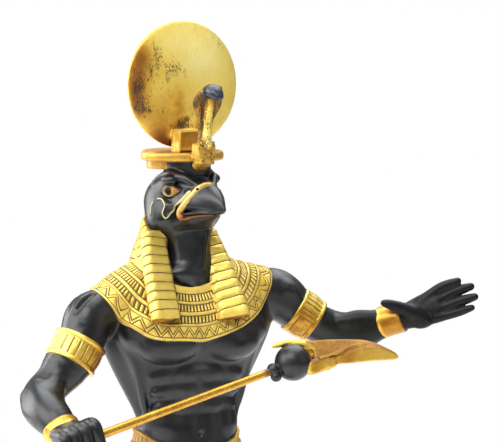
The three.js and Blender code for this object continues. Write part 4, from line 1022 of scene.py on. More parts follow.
def add_relief(which, edge, x, y, z):
    """Raised and sunk detail, in mm along the normal. edge is the distance to where another part takes over."""
    h = np.zeros(x.shape, f32)
    hold = ramp(edge, 0.02, 0.3)

    def on(k):
        return np.nonzero(which == k)[0]

    i = on(N_WIG)
    if len(i):
        v = wig_v(x[i], y[i], z[i])
        g = soft(near_line(v, 0.075))
        sw = np.cos((v - np.round(v)) * 2 * math.pi)
        h[i] = -0.22 * g - 0.015 * sw
    i = on(N_COLLAR)
    if len(i):
        h[i] = collar_relief(collar_w(x[i], y[i], z[i]), collar_u(x[i], y[i], z[i]))
    i = on(N_BAND)
    if len(i):
        xi, yi, zi = x[i], y[i], z[i]
        hh = np.zeros(xi.shape, f32)
        a, th, L, m = in_band(BAND_R, xi, yi, zi, ZERO_R)
        hh = np.where(m, -0.24 * band_r_pattern(a, th, L), hh)
        a, th, L, m = in_band(BAND_L, xi, yi, zi, ZERO_L)
        hh = np.where(m, -0.24 * band_l_pattern(a, th, L), hh)
        h[i] = hh
    i = on(N_BELT)
    if len(i):
        d, c, th = waist(x[i], y[i], z[i])
        v = belt_top(c) + 0.3 - z[i]
        g = soft(near_line(th * 40 / (2 * math.pi), 0.16))
        h[i] = -0.2 * g * ramp(v, 0.9, 1.15) * ramp(v, 4.1, 3.85)
    i = on(N_HEAD)
    if len(i):
        d = cheek_distance(x[i], y[i], z[i])
        h[i] = 0.16 * soft(1 - np.maximum(d + 0.1, 0) / 0.32)
    i = on(N_KILT)
    if len(i):
        # the front panel's bars
        xi, yi, zi = x[i], y[i], z[i]
        m = (yi < -11) & (np.abs(xi) < 8.4)
        g = soft(near_line(zi / 4.6, 0.07)) * (np.abs(xi) < 3.0 + (143 - zi) * 0.1 - 0.9)
        h[i] = np.where(m, -0.22 * g, 0)
    i = on(N_CROWN)
    if len(i):
        xi, yi, zi = x[i], y[i], z[i]
        s, f, _ = head_coords(xi, yi, zi)
        # level cuts across the cobra's throat and coil
        m = (f > 12.2) & (np.abs(s) < 2.6) & (zi > 243) & (zi < 262)
        g = soft(near_line(zi / 1.9, 0.1))
        hh = np.where(m, -0.16 * g, 0)
        m = (f > 12.4) & (np.abs(s) < 4.6) & (zi < 243.2)
        hh = np.where(m, -0.2 * soft(near_line((zi - 0.35) / 1.25, 0.16)), hh)
        h[i] = hh
    return h * hold


# ------------------------------------------------------------------ meshing
def _grid_chunk(job):
    ox, oy, oz, parts, pts, size = job
    X = ox[:, None] + pts[None, :, 0]
    Y = oy[:, None] + pts[None, :, 1]
    Z = oz[:, None] + pts[None, :, 2]
    lo = np.stack([ox, oy, oz], 1)
    hi = lo + size
    res = np.full(X.shape, 9.0, f32)
    for part in parts:
        pi = np.nonzero(((hi > part.lo) & (lo < part.hi)).all(1))[0]
        if not len(pi):
            continue
        acc = np.full((len(pi), X.shape[1]), 9.0, f32)
        plo, phi = lo[pi], hi[pi]
        for q in part.forms:
            qi = np.nonzero(((phi > q.lo) & (plo < q.hi)).all(1))[0]
            if not len(qi):
                continue
            g = pi[qi]
            v = q.f(X[g], Y[g], Z[g])
            acc[qi] = smin(acc[qi], v, q.k) if q.op == "+" else smax(acc[qi], -v, q.k)
        res[pi] = smin(res[pi], acc, BLEND)
    return res


def field_blocks(o, parts, pts, chunk=260):
    """Union of the parts on blocks of grid points: o is each block's low corner, pts the offsets."""
    size = pts.max()
    o = o.astype(f32)
    jobs = [(o[c:c + chunk, 0], o[c:c + chunk, 1], o[c:c + chunk, 2], parts, pts, size) for c in range(0, len(o), chunk)]
    return np.concatenate(list(POOL.map(_grid_chunk, jobs)))


def _dist_chunk(job):
    parts, P = job
    x, y, z = (np.ascontiguousarray(P[:, i]).astype(f32) for i in range(3))
    D = np.full((len(parts), len(P)), 9.0, f32)
    for k, part in enumerate(parts):
        i = np.nonzero((P > part.lo).all(1) & (P < part.hi).all(1))[0]
        if len(i):
            D[k, i] = part.at(x[i], y[i], z[i])
    return D


def distances(parts, P, chunk=30000):
    """Distance from each point to each part."""
    return np.concatenate(list(POOL.map(_dist_chunk, [(parts, P[c:c + chunk]) for c in range(0, len(P), chunk)])), axis=1)


def union(D):
    out = np.full(D.shape[1], 9.0, f32)
    for row in D:
        out = smin(out, row, BLEND)
    return out


TETRA = np.array([[1, -1, -1], [-1, -1, 1], [-1, 1, -1], [1, 1, 1]], float)


def slope(parts, P, e=0.05):
    """The field's mean value and gradient at P."""
    v = [union(distances(parts, P + e * k)).astype(np.float64) for k in TETRA]
    g = sum(v[i][:, None] * TETRA[i][None, :] for i in range(4)) / (4 * e)
    return sum(v) / 4, g


def settle(parts, P, times, limit):
    """Moves points onto the surface."""
    for _ in range(times):
        d, g = slope(parts, P)
        P = P - g * np.clip(d / np.maximum((g * g).sum(1), 0.25), -limit, limit)[:, None]
    return P


def net(parts, grid, settled=2):
    """Surface net of the union of the parts: points and quads."""
    lo = np.min([p.lo for p in parts], axis=0)
    hi = np.max([p.hi for p in parts], axis=0)
    size = grid * CELLS
    nb = np.ceil((hi - lo) / size).astype(int) + 1
    gi = np.stack(np.meshgrid(*[np.arange(k) for k in nb], indexing="ij"), -1).reshape(-1, 3)
    centre = field_blocks(lo + gi * size, parts, np.array([[0.5 * size] * 3], f32), 4000)[:, 0]
    gi = gi[np.abs(centre) < size * 0.87 * 1.35 + 0.8]
    o = lo + gi * size
    k = np.arange(CELLS + 1) * grid
    pts = np.stack(np.meshgrid(k, k, k, indexing="ij"), -1).reshape(-1, 3).astype(f32)
    val = field_blocks(o, parts, pts).reshape(-1, CELLS + 1, CELLS + 1, CELLS + 1)
    ins = val < 0
    n = CELLS
    cnt = sum(ins[:, i:n + i, j:n + j, l:n + l].astype(np.int8) for i in (0, 1) for j in (0, 1) for l in (0, 1))
    b, ci, cj, ck = np.nonzero((cnt > 0) & (cnt < 8))
    NY, NZ = (nb[1] + 2) * n, (nb[2] + 2) * n
    gid = ((gi[b, 0] * n + ci + 8).astype(np.int64) * NY + gi[b, 1] * n + cj + 8) * NZ + gi[b, 2] * n + ck + 8
    corners = [(i, j, l) for i in (0, 1) for j in (0, 1) for l in (0, 1)]
    cv = np.stack([val[b, ci + i, cj + j, ck + l] for i, j, l in corners], 1)
    acc = np.zeros((len(b), 3))
    num = np.zeros(len(b))
    for a in range(8):
        for ax in range(3):
            c2 = list(corners[a])
            if c2[ax]:
                continue
            c2[ax] = 1
            d = corners.index(tuple(c2))
            va, vb = cv[:, a], cv[:, d]
            m = (va < 0) != (vb < 0)
            t = np.where(m, va / np.where(m, va - vb, 1), 0)
            for q in range(3):
                acc[:, q] += np.where(m, corners[a][q] + (t if q == ax else 0), 0)
            num += m
    P = o[b] + (np.stack([ci, cj, ck], 1) + acc / num[:, None]) * grid
    order = np.argsort(gid)
    sg = gid[order]
    quads = []
    step = [NY * NZ, NZ, 1]
    for ax in range(3):
        sl0 = [slice(0, n)] * 3
        sl1 = [slice(0, n)] * 3
        sl1[ax] = slice(1, n + 1)
        a, c = ins[(slice(None), *sl0)], ins[(slice(None), *sl1)]
        bb, i, j, l = np.nonzero(a != c)
        base = ((gi[bb, 0] * n + i + 8).astype(np.int64) * NY + gi[bb, 1] * n + j + 8) * NZ + gi[bb, 2] * n + l + 8
        u, v = step[(ax + 1) % 3], step[(ax + 2) % 3]
        ids = np.stack([base, base - u, base - u - v, base - v], 1)
        loc = np.minimum(np.searchsorted(sg, ids), len(sg) - 1)
        ok = (sg[loc] == ids).all(1)
        q = order[loc]
        q = np.where(a[bb, i, j, l][:, None], q, q[:, ::-1])
        quads.append(q[ok])
    return settle(parts, P, settled, 0.4 * grid), np.concatenate(quads)


def triangles(P, Q):
    """Splits quads along their shorter diagonal."""
    a = ((P[Q[:, 0]] - P[Q[:, 2]]) ** 2).sum(1) <= ((P[Q[:, 1]] - P[Q[:, 3]]) ** 2).sum(1)
    A, B = Q[a], Q[~a]
    return np.concatenate([A[:, [0, 1, 2]], A[:, [0, 2, 3]], B[:, [1, 2, 3]], B[:, [1, 3, 0]]])


def refine(P, T, pick):
    """Splits every edge of the picked triangles in two. Returns points, triangles and the new points' first index."""
    n = len(P)

    def keys(a, b):
        return np.minimum(a, b).astype(np.int64) * n + np.maximum(a, b)

    K = np.stack([keys(T[:, i], T[:, (i + 1) % 3]) for i in range(3)], 1)
    sk = np.unique(K[pick])
    loc = np.minimum(np.searchsorted(sk, K), len(sk) - 1)
    cut = sk[loc] == K
    mid = n + loc
    new = (P[sk // n] + P[sk % n]) / 2
    num = cut.sum(1)
    out = [T[num == 0]]
    t, m = T[num == 3], mid[num == 3]
    out += [np.stack(c, 1) for c in ((t[:, 0], m[:, 0], m[:, 2]), (m[:, 0], t[:, 1], m[:, 1]), (m[:, 2], m[:, 1], t[:, 2]), (m[:, 0], m[:, 1], m[:, 2]))]
    for r in range(3):
        s = (num == 1) & cut[:, r]
        a, b, c = (T[s, (r + i) % 3] for i in range(3))
        w = mid[s, r]
        out += [np.stack((a, w, c), 1), np.stack((w, b, c), 1)]
        s = (num == 2) & ~cut[:, (r + 2) % 3]
        a, b, c = (T[s, (r + i) % 3] for i in range(3))
        w, v = mid[s, r], mid[s, (r + 1) % 3]
        out += [np.stack((w, b, v), 1), np.stack((a, w, v), 1), np.stack((a, v, c), 1)]
    return np.vstack([P, new]), np.concatenate(out), n


def point_normals(P, T):
    n = np.cross(P[T[:, 1]] - P[T[:, 0]], P[T[:, 2]] - P[T[:, 0]])
    N = np.stack([sum(np.bincount(T[:, k], n[:, i], len(P)) for k in range(3)) for i in range(3)], 1)
    return N / np.maximum(np.linalg.norm(N, axis=1), 1e-9)[:, None]


def mesh_from(name, P, T):
    me = bpy.data.meshes.new(name)
    me.vertices.add(len(P))
    me.vertices.foreach_set("co", (np.asarray(P) * 0.001).astype(f32).ravel())
    k = T.shape[1]
    me.loops.add(T.size)
    me.loops.foreach_set("vertex_index", T.astype(np.int32).ravel())
    me.polygons.add(len(T))
    me.polygons.foreach_set("loop_start", (np.arange(len(T)) * k).astype(np.int32))
    me.update(calc_edges=True)
    me.polygons.foreach_set("use_smooth", np.ones(len(T), bool))
    return me


def put(name, me):
    ob = bpy.data.objects.new(name, me)
    bpy.context.collection.objects.link(ob)
    return ob


def decimated(me, tris, name):
    ob = put("working", me)
    m = ob.modifiers.new("fewer", "DECIMATE")
    m.ratio = min(1.0, tris / len(me.polygons))
    m.use_collapse_triangulate = True
    dg = bpy.context.evaluated_depsgraph_get()
    out = bpy.data.meshes.new_from_object(ob.evaluated_get(dg))
    bpy.data.objects.remove(ob)
    bpy.data.meshes.remove(me)
    out.name = name
    return out


def points_of(me):
    a = np.empty(len(me.vertices) * 3, f32)
    me.vertices.foreach_get("co", a)
    return a.reshape(-1, 3).astype(np.float64) * 1000


def faces_of(me):
    a = np.empty(len(me.polygons) * 3, np.int32)
    me.polygons.foreach_get("vertices", a)
    return a.reshape(-1, 3)


def attribute(me, name, values):
    a = me.attributes.new(name, "FLOAT", "POINT")
    a.data.foreach_set("value", np.ascontiguousarray(values, dtype=f32))


def hollowness(parts, P, N, reach):
    """How closed in the surface is within reach: 0 in the open, towards 1 in a crease."""
    return np.clip(1 - union(distances(parts, P + N * reach)) / f32(reach), 0, 1.5)


def true_normals(P, e=0.16):
    """Directions of the finished surface, relief included, a little softened."""
    g = np.zeros((len(P), 3))
    for k in TETRA:
        Q = P + e * k
        D = distances(PARTS, Q)
        two = np.partition(D, 1, axis=0)
        h = add_relief(D.argmin(0), two[1] - two[0], *(Q[:, i].astype(f32) for i in range(3)))
        g += (union(D) - h)[:, None] * k[None, :]
    return g / np.maximum(np.linalg.norm(g, axis=1), 1e-9)[:, None]


# ------------------------------------------------------------------ the casting's mesh
def face_owner(own, D, T):
    """Which part each face belongs to."""
    return (D[:, T[:, 0]] + D[:, T[:, 1]] + D[:, T[:, 2]]).argmin(0)


def casting():
    P, Q = net(PARTS, GRID)
    T = triangles(P, Q)
    D = distances(PARTS, P)
    own = D.argmin(0)
    fine = np.isin(own, [N_COLLAR, N_WIG, N_BAND, N_CERE, N_EYE, N_BELT]) | ((own == N_HEAD) & (P[:, 2] > 214)) | (own == N_COBRA)
    P, T, n = refine(P, T, fine[T].any(1))
    P[n:] = settle(PARTS, P[n:], 1, 0.1)
    D = distances(PARTS, P)
    own = D.argmin(0)
    fine = (own == N_COLLAR) & (collar_w(*(P[:, i].astype(f32) for i in range(3))) < 16) & (D[N_COLLAR] < D[N_WIG] - 0.1)
    P, T, n = refine(P, T, fine[T].all(1))
    P[n:] = settle(PARTS, P[n:], 1, 0.06)
    D = distances(PARTS, P)
    two = np.partition(D, 1, axis=0)
    N = point_normals(P, T)
    P = P + N * add_relief(D.argmin(0), two[1] - two[0], *(P[:, i].astype(f32) for i in range(3)))[:, None]
    return decimated(mesh_from("dense", P, T), FIGURE_TRIS, "figure_cast")


figure = casting()
P, T = points_of(figure), faces_of(figure)
X, Y, Z = (P[:, i].astype(f32) for i in range(3))
D = distances(PARTS, P)
N = point_normals(P, T)
gold_rows = [k for k, p in enumerate(PARTS) if p.gold]
black_rows = [k for k, p in enumerate(PARTS) if not p.gold]
attribute(figure, "gold", D[gold_rows].min(0) - D[black_rows].min(0))
near = hollowness(PARTS, P, N, 0.7)
wide = hollowness(PARTS, P, N, 2.4)
attribute(figure, "near", near)
attribute(figure, "wide", wide)
attribute(figure, "cw", collar_w(X, Y, Z))
attribute(figure, "cu", collar_u(X, Y, Z))
attribute(figure, "wv", wig_v(X, Y, Z))
attribute(figure, "cheek", cheek_distance(X, Y, Z))
ex, ez = eye_coords(X, Y, Z)
attribute(figure, "ex", ex)
attribute(figure, "ez", ez)

own = D.argmin(0)
cut = np.zeros(len(P), f32)
tone = np.zeros(len(P), f32)
dirt = np.zeros(len(P), f32)
# armbands and cuffs: a painted highlight on top, and painted shade, coppery, below and on the faces turned towards the
# body
for b, zero, pattern in ((BAND_R, ZERO_R, band_r_pattern), (BAND_L, ZERO_L, band_l_pattern)):
    a, th, L, m = in_band(b, X, Y, Z, zero)
    m &= own == N_BAND
    cut = np.where(m, pattern(a, th, L), cut)
a, th, L, m = in_band(BAND_R, X, Y, Z, ZERO_R)
tone = np.where(m & (own == N_BAND), 0.55 - 1.35 * ramp(N[:, 0], -0.55, 0.75) - 0.5 * ramp(N[:, 2], 0.0, -0.8), tone)
a, th, L, m = in_band(BAND_L, X, Y, Z, ZERO_L)
tone = np.where(m & (own == N_BAND), 0.42 - 0.95 * ramp(N[:, 2], 0.75, -0.1) + 0.3 * ramp(a, 1.2, 0.4), tone)
a, th, L, m = in_band(CUFF_R, X, Y, Z, (0, 0, 1))
tone = np.where(m & (own == N_BAND) & (X < -40), 0.0 - 0.5 * ramp(N[:, 0], 0.0, 0.9) - 0.6 * ramp(a, 1.2, 0.2), tone)
m = (own == N_BAND) & (X > 55)
a, th, L, _ = in_band(CUFF_L, X, Y, Z, (0, 0, 1))
tone = np.where(m, -0.5 - 0.25 * ramp(N[:, 2], 0.5, -0.3) + 0.75 * ramp(a, 1.5, 0.5), tone)
# wig: yellow in front, dull and coppery behind, with painted shade, coppery, on the faces turned down at the lappets'
# ends
vr, dr = lappet_v(X, Y, Z, LAPPET_R)
vl, dl = lappet_v(X, Y, Z, LAPPET_L)
on_r, on_l = dr < 6.6, dl < 6.4
tone = np.where(own == N_WIG, 0.46 - 0.42 * ramp(Y, -2.0, 3.0), tone)
under = np.where(on_r | on_l, ramp(N[:, 2], -0.25, -0.8) * ramp(Z, 196, 191), 0)
tone = np.where(own == N_WIG, tone - 1.1 * under, tone)
# painted shade, brown, on the right lappet's face turned towards the neck, carried in the cut mask beside the engraved
# cuts
cut = np.where(own == N_WIG, ramp(N[:, 0], 0.55, 0.85) * (X < -3) * (Z < 219) * (Y < -1), cut)
# collar
w = collar_w(X, Y, Z)
tone = np.where(own == N_COLLAR, 0.42 - 0.16 * ramp(X, 8, 22) - 0.12 * ramp(w, 8, 3), tone)
# kilt and belt: painted shade, brown, towards the figure's right side
tone = np.where((own == N_KILT) | (own == N_BELT), 0.0 - 0.45 * ramp(X, -8, -14), tone)
d_, c_, th_ = waist(X, Y, Z)
cut = np.where(own == N_BELT, soft(near_line(th_ * 40 / (2 * math.pi), 0.16)) * ramp(belt_top(c_) + 0.3 - Z, 0.9, 1.15) * ramp(belt_top(c_) + 0.3 - Z, 4.1, 3.85), cut)
# crown: the disc carries a painted highlight above and to its left, painted shade down its right side, where it is also
# rubbed dark, and is coppery low down
ds = (X - DISC_C[0]) * DS[0] + (Y - DISC_C[1]) * DS[1]
dn = (X - DISC_C[0]) * DF[0] + (Y - DISC_C[1]) * DF[1]
dz = Z - DISC_C[2]
disc = (own == N_CROWN) & (Z > 243.9) & (np.abs(dn) < 4.2) & (ds * ds + dz * dz < 21.2 ** 2)
front = dn > 0.4


def spot(s, z, a, b, turn=0.0):
    c_, s_ = math.cos(turn), math.sin(turn)
    u, v = (ds - s) * c_ + (dz - z) * s_, -(ds - s) * s_ + (dz - z) * c_
    return np.exp(-((u / a) ** 2) - (v / b) ** 2)


scuff = (0.8 * spot(-17.6, -1.5, 2.6, 8.0) + 0.9 * spot(-15.6, -7.8, 2.0, 2.4) + 0.7 * spot(-13.6, 5.0, 1.9, 4.2) + 0.9 * spot(-10.8, 10.5, 1.9, 3.8)
         + 0.85 * spot(-4.4, 4.8, 4.6, 2.2) + 0.5 * spot(-6.8, 1.0, 0.9, 1.4) + 0.8 * spot(-0.2, -0.8, 0.9, 1.9) + 0.7 * spot(0.6, 14.4, 0.6, 0.6) + 0.45 * spot(13.2, 12.8, 1.3, 2.2)
         + 1.3 * spot(-1.0, -11.9, 3.2, 1.3, 0.5) + 1.3 * spot(-1.6, -13.6, 3.0, 0.9) + 0.3 * spot(-9.0, -4.0, 5.0, 7.0))
# painted shade down the disc's right side and low on its face
shade = 0.5 * spot(-16.5, 1.0, 2.6, 6.0) + 0.25 * spot(-12.5, -11.0, 6.0, 5.0) + 1.0 * spot(-19.0, -2.0, 3.6, 12.5) + 0.55 * spot(-15.0, 9.0, 4.0, 6.0, 0.5) + 0.35 * spot(-8.0, -9.0, 8.0, 9.0) + 0.3 * spot(2.0, -17.0, 8.0, 5.0)
copper = 0.9 * spot(-0.8, -16.4, 2.6, 2.6) + 1.1 * spot(-7.4, -17.6, 5.6, 3.2, -0.45) + 0.55 * spot(-2.8, -7.0, 1.5, 6.0) + 0.3 * spot(-16.0, 9.5, 2.5, 4.0)
# painted highlight high on the disc's face, to its left
bright = 1.0 * spot(6.0, 9.0, 9.0, 8.0) + 0.4 * spot(-4.0, 15.0, 9.0, 4.0)
tone = np.where(own == N_CROWN, 0.12, tone)
tone = np.where(disc & front, 0.55 + 0.45 * bright - 1.45 * copper - 1.45 * shade, tone)
tone = np.where(disc & ~front, 0.1 - 0.3 * spot(-9, -4, 8, 10), tone)
dirt = np.where(disc & front, scuff, dirt)
dirt = np.where(disc & ~front, 0.6 * spot(6, 4, 6, 5) + 0.5 * spot(-8, -6, 6, 5), dirt)
hs_, hf_, _ = head_coords(X, Y, Z)
# the cobra's hood is browned, its throat bright, with black blotches in the grooves beside the throat
cob = (own == N_CROWN) & (hf_ > 10.4) & (np.abs(hs_) < 6.4) & (Z > 245.0) & ~(disc & (dn < 3.4))
throat = ramp(np.abs(hs_), 1.5, 1.1)
tone = np.where(cob, -0.62 + 1.05 * throat * ramp(Z, 261, 256) + 0.5 * ramp(Z, 252, 248), tone)
dirt = np.where(cob, 0.45 + 1.0 * bell(hs_, 2.0, 0.75) * bell(Z, 254, 7) + 0.9 * bell(hs_, -1.9, 0.6) * bell(Z, 252, 7) + 0.5 * ramp(Z, 256, 259) * (1 - throat), dirt)
low = (own == N_CROWN) & (Z < 245.0) & ~disc
dirt = np.where(low & (hf_ > 9.5) & (np.abs(hs_) < 5), 0.5, dirt)
# the plate, ring and coil: darker on the faces turned up, and painted shade on the faces turned down
tone = np.where(low, -0.25 - 0.35 * ramp(N[:, 2], 0.5, 1.0) - 0.45 * ramp(N[:, 2], -0.2, -0.9), tone)
blk = (own == N_CROWN) & (Z > 243.6) & (Z < 251.0) & (hf_ > 1.5) & (hf_ < 8.5) & (np.abs(hs_) < 7.2)
tone = np.where(blk, 0.25 - 0.75 * (hf_ > 6.2) * ramp(hf_, 7.0, 6.7) * ramp(np.abs(hs_ - 0.2), 5.15, 4.8) - 0.35 * ramp(hs_, -4.0, -5.6), tone)
# round the beak: cream along the top, painted shade, copper, on the faces turned back and down and darker towards the
# bottom of the band, the lip brown
nb = -(N[:, 0] * HF[0] + N[:, 1] * HF[1])
tone = np.where(own == N_CERE, 0.48 - 1.25 * ramp(nb, -0.3, 0.4) - 0.8 * ramp(N[:, 2], -0.1, -0.8) - 0.3 * ramp(Z, 228, 223), tone)
tone = np.where((own == N_CERE) & (hf_ > 11.4) & (Z < 224.2), -0.95, tone)
# painted shade, brown, down the kilt and belt's right side; from here the cut mask holds engraved cuts and painted
# shade
cut = np.where((own == N_BELT) | (own == N_KILT), np.maximum(cut, 0.5 * ramp(X, -9, -15)), cut)
attribute(figure, "cut", cut)
# painted shade: the tone drops towards copper in broad hollows
attribute(figure, "tone", tone - 0.55 * ramp(wide, 0.42, 1.0) * (own != N_WIG) - 0.4 * ramp(wide, 0.5, 1.0) * (own == N_WIG))
attribute(figure, "dirt", dirt)
attribute(figure, "dull", ramp(X, 36, 58))


# ------------------------------------------------------------------ staff
def rod_forms():
    tail = -56.0
    forms = [chain([[*F(tail + 6, 0, 0), 1.38], [*F(12, 0, 0), 1.4], [*F(ROD_LEN, 0, 0), 1.22]], None, 0.0, n=1)]
    for k in (-1, 1):
        forms.append(chain([[*F(tail + 8.5, 0, 0), 1.0], [*F(tail + 5.5, 0.4, k * 1.3), 0.95], [*F(tail + 2.5, 0.2, k * 2.2), 0.9], [*F(tail + 0.5, 0, k * 2.4), 0.8]], None, 0.6, n=3))
    return forms


BALL_C, BALL_R = arr(24.8, -29.7, 176.0), 5.9
BLADE = table([
    [25.6, 181.6, 179.0, 176.4, -31.0, -28.4, -26.0], [29.4, 182.7, 177.6, 175.2, -33.0, -28.8, -26.2], [34.4, 183.1, 177.0, 175.0, -33.7, -29.2, -26.4],
    [40.8, 183.1, 177.8, 175.3, -34.0, -29.6, -26.8], [45.1, 182.9, 179.2, 175.4, -34.0, -29.8, -27.0], [50.0, 182.5, 179.6, 175.6, -33.9, -30.0, -27.4],
    [54.0, 181.4, 179.5, 175.6, -33.5, -30.2, -27.9], [58.2, 179.5, 178.1, 175.5, -32.9, -30.4, -28.7], [60.6, 178.2, 177.3, 175.6, -32.3, -30.7, -29.4],
    [61.8, 177.1, 176.7, 175.9, -31.8, -31.0, -30.3]], 0.2)


def blade_form():
    def f(x, y, z):
        xc = np.clip(x, 25.6, 62.8)
        top, rid, bot, yf, ym, yb = (look(BLADE, i, xc) for i in range(6))

        def plane(y0, z0, y1, z1):
            ny, nz = (z1 - z0), (y0 - y1)
            L = np.sqrt(ny * ny + nz * nz) + f32(1e-4)
            return ((y - y0) * ny + (z - z0) * nz) / L

        upper = plane(ym, top, yf, rid)
        front = yf - y
        under = bot - z
        behind = plane(yb, bot + 1.0, ym + 0.6, top)
        d = smax(upper, front, 0.35)
        d = smax(d, under, 0.5)
        d = smax(d, behind, 1.2)
        d = smax(d, z - top, 0.9)
        return smax(d, np.maximum(x - f32(62.0), f32(26.0) - x), 1.3).astype(f32)

    return Form(f, (25, -35, 174.5), (63, -25, 184), 0.4)


_bx = unit(arr(1.0, -0.02, 0.20))
_by = unit(arr(0, -1, 0) + _bx * _bx[1])
_bz = unit(np.cross(_bx, _by))
if _bz[2] < 0:
    _bz = -_bz
knob_forms = [
    ell(F(ROD_LEN + 1.7, 0, 0.3), (1.9, 2.2, 2.1), None, 0.3),
    chain([[*F(ROD_LEN + 2.6, 0, 0), 1.9], [*F(ROD_LEN + 5.2, 0, 0), 1.9]], None, 0.5, n=1),
    ell((18.5, -30.6, 171.9), (1.8, 1.7, 1.7), None, 0.3),
    ell(BALL_C, (BALL_R, BALL_R, BALL_R), None, 0.35),
]
beast_forms = [
    blade_form(),
    # the ear laid back over the ball
    chain([[19.4, -26.4, 181.1, 0.55], [22.6, -26.9, 181.8, 1.0], [26.6, -28.0, 181.9, 1.35], [30.0, -29.6, 181.6, 1.35], [31.6, -30.6, 180.6, 0.9]], None, 0.4, n=4),
    ell((24.6, -27.4, 182.1), (3.4, 1.2, 0.9), None, 0.4),
    # the jaw block under the cheek
    block((32.0, -31.9, 174.9), (4.4, 2.8, 2.1), [_bx, _by, _bz], 1.3, 0.9),
    block((36.4, -32.0, 175.8), (1.8, 2.7, 1.7), [_bx, _by, _bz], 1.1, 0.8),
    ell((30.2, -33.6, 173.4), (1.9, 1.4, 1.0), None, 0.4),
    ell((30.0, -31.6, 179.0), (1.6, 1.3, 1.4), None, 0.3, "-"),
    chain([[32.4, -33.4, 178.6, 0.3], [36.0, -33.0, 179.2, 0.32], [39.0, -32.6, 179.9, 0.36], [41.4, -32.2, 181.2, 0.36], [44.0, -31.8, 181.8, 0.3], [48.0, -31.4, 181.9, 0.22]], None, 0.3, "-", n=5),
    # a light lip under it
    chain([[32.6, -33.8, 177.8, 0.45], [36.0, -33.6, 178.4, 0.5], [39.4, -33.2, 179.1, 0.5], [42.4, -32.8, 180.2, 0.5], [45.6, -32.6, 180.9, 0.4], [49.0, -32.4, 181.0, 0.3]], None, 0.35, n=5),
    # the curl where the ear joins
    chain([[30.6, -31.8, 181.2, 0.35], [31.8, -32.4, 179.9, 0.4], [31.4, -32.8, 178.4, 0.4], [30.2, -32.8, 177.4, 0.35]], None, 0.25, "-", n=4),
    chain([[39.0, -34.2, 178.0, 0.5], [39.3, -34.6, 176.2, 0.6], [38.8, -34.0, 174.0, 0.5]], None, 0.3, "-", n=3),
    chain([[35.0, -35.2, 176.2, 0.2], [35.3, -35.2, 173.0, 0.2]], None, 0.15, "-", n=1),
    chain([[36.4, -35.2, 176.4, 0.2], [36.7, -35.2, 173.2, 0.2]], None, 0.15, "-", n=1),
]
knob_part, beast_part = Part(knob_forms), Part(beast_forms, True)
HEAD_PARTS = [knob_part, beast_part]


def small_cast(name, parts, grid, tris):
    P, Q = net(parts, grid)
    T = triangles(P, Q)
    me = mesh_from(name, P, T)
    return decimated(me, tris, name) if len(T) > tris else me


staff_head = small_cast("staff_head_cast", HEAD_PARTS, 0.24, 40000)
hp, ht = points_of(staff_head), faces_of(staff_head)
hd = distances(HEAD_PARTS, hp)
hn = point_normals(hp, ht)
attribute(staff_head, "gold", hd[1] - hd[0])
attribute(staff_head, "near", hollowness(HEAD_PARTS, hp, hn, 0.6))
attribute(staff_head, "wide", hollowness(HEAD_PARTS, hp, hn, 2.0))
top_face = ramp(hn[:, 2], 0.25, 0.6)
# the top faces darker and matte; painted shade in the hollow between the jaw block and the lower facet near x 43, and
# darker low down near x 31
ht_tone = -0.10 - 0.62 * top_face - 0.5 * bell(hp[:, 0], 43.0, 2.6) * (1 - top_face) + 0.15 * ramp(hp[:, 0], 46, 58) - 0.3 * bell(hp[:, 0], 31.0, 2.2) * (hp[:, 2] < 177)
ht_tone = np.where(hp[:, 0] < 29, 0.25, ht_tone)
attribute(staff_head, "tone", ht_tone)
attribute(staff_head, "matte", top_face * ramp(hp[:, 0], 28, 31))

staff_rod = small_cast("staff_rod_cast", [Part(rod_forms(), True)], 0.27, 30000)
rp = points_of(staff_rod)
rt = (rp - ROD_EXIT) @ RD
attribute(staff_rod, "along", rt)
attribute(staff_rod, "end", ramp(rt, ROD_LEN - 4.5, ROD_LEN - 0.5))


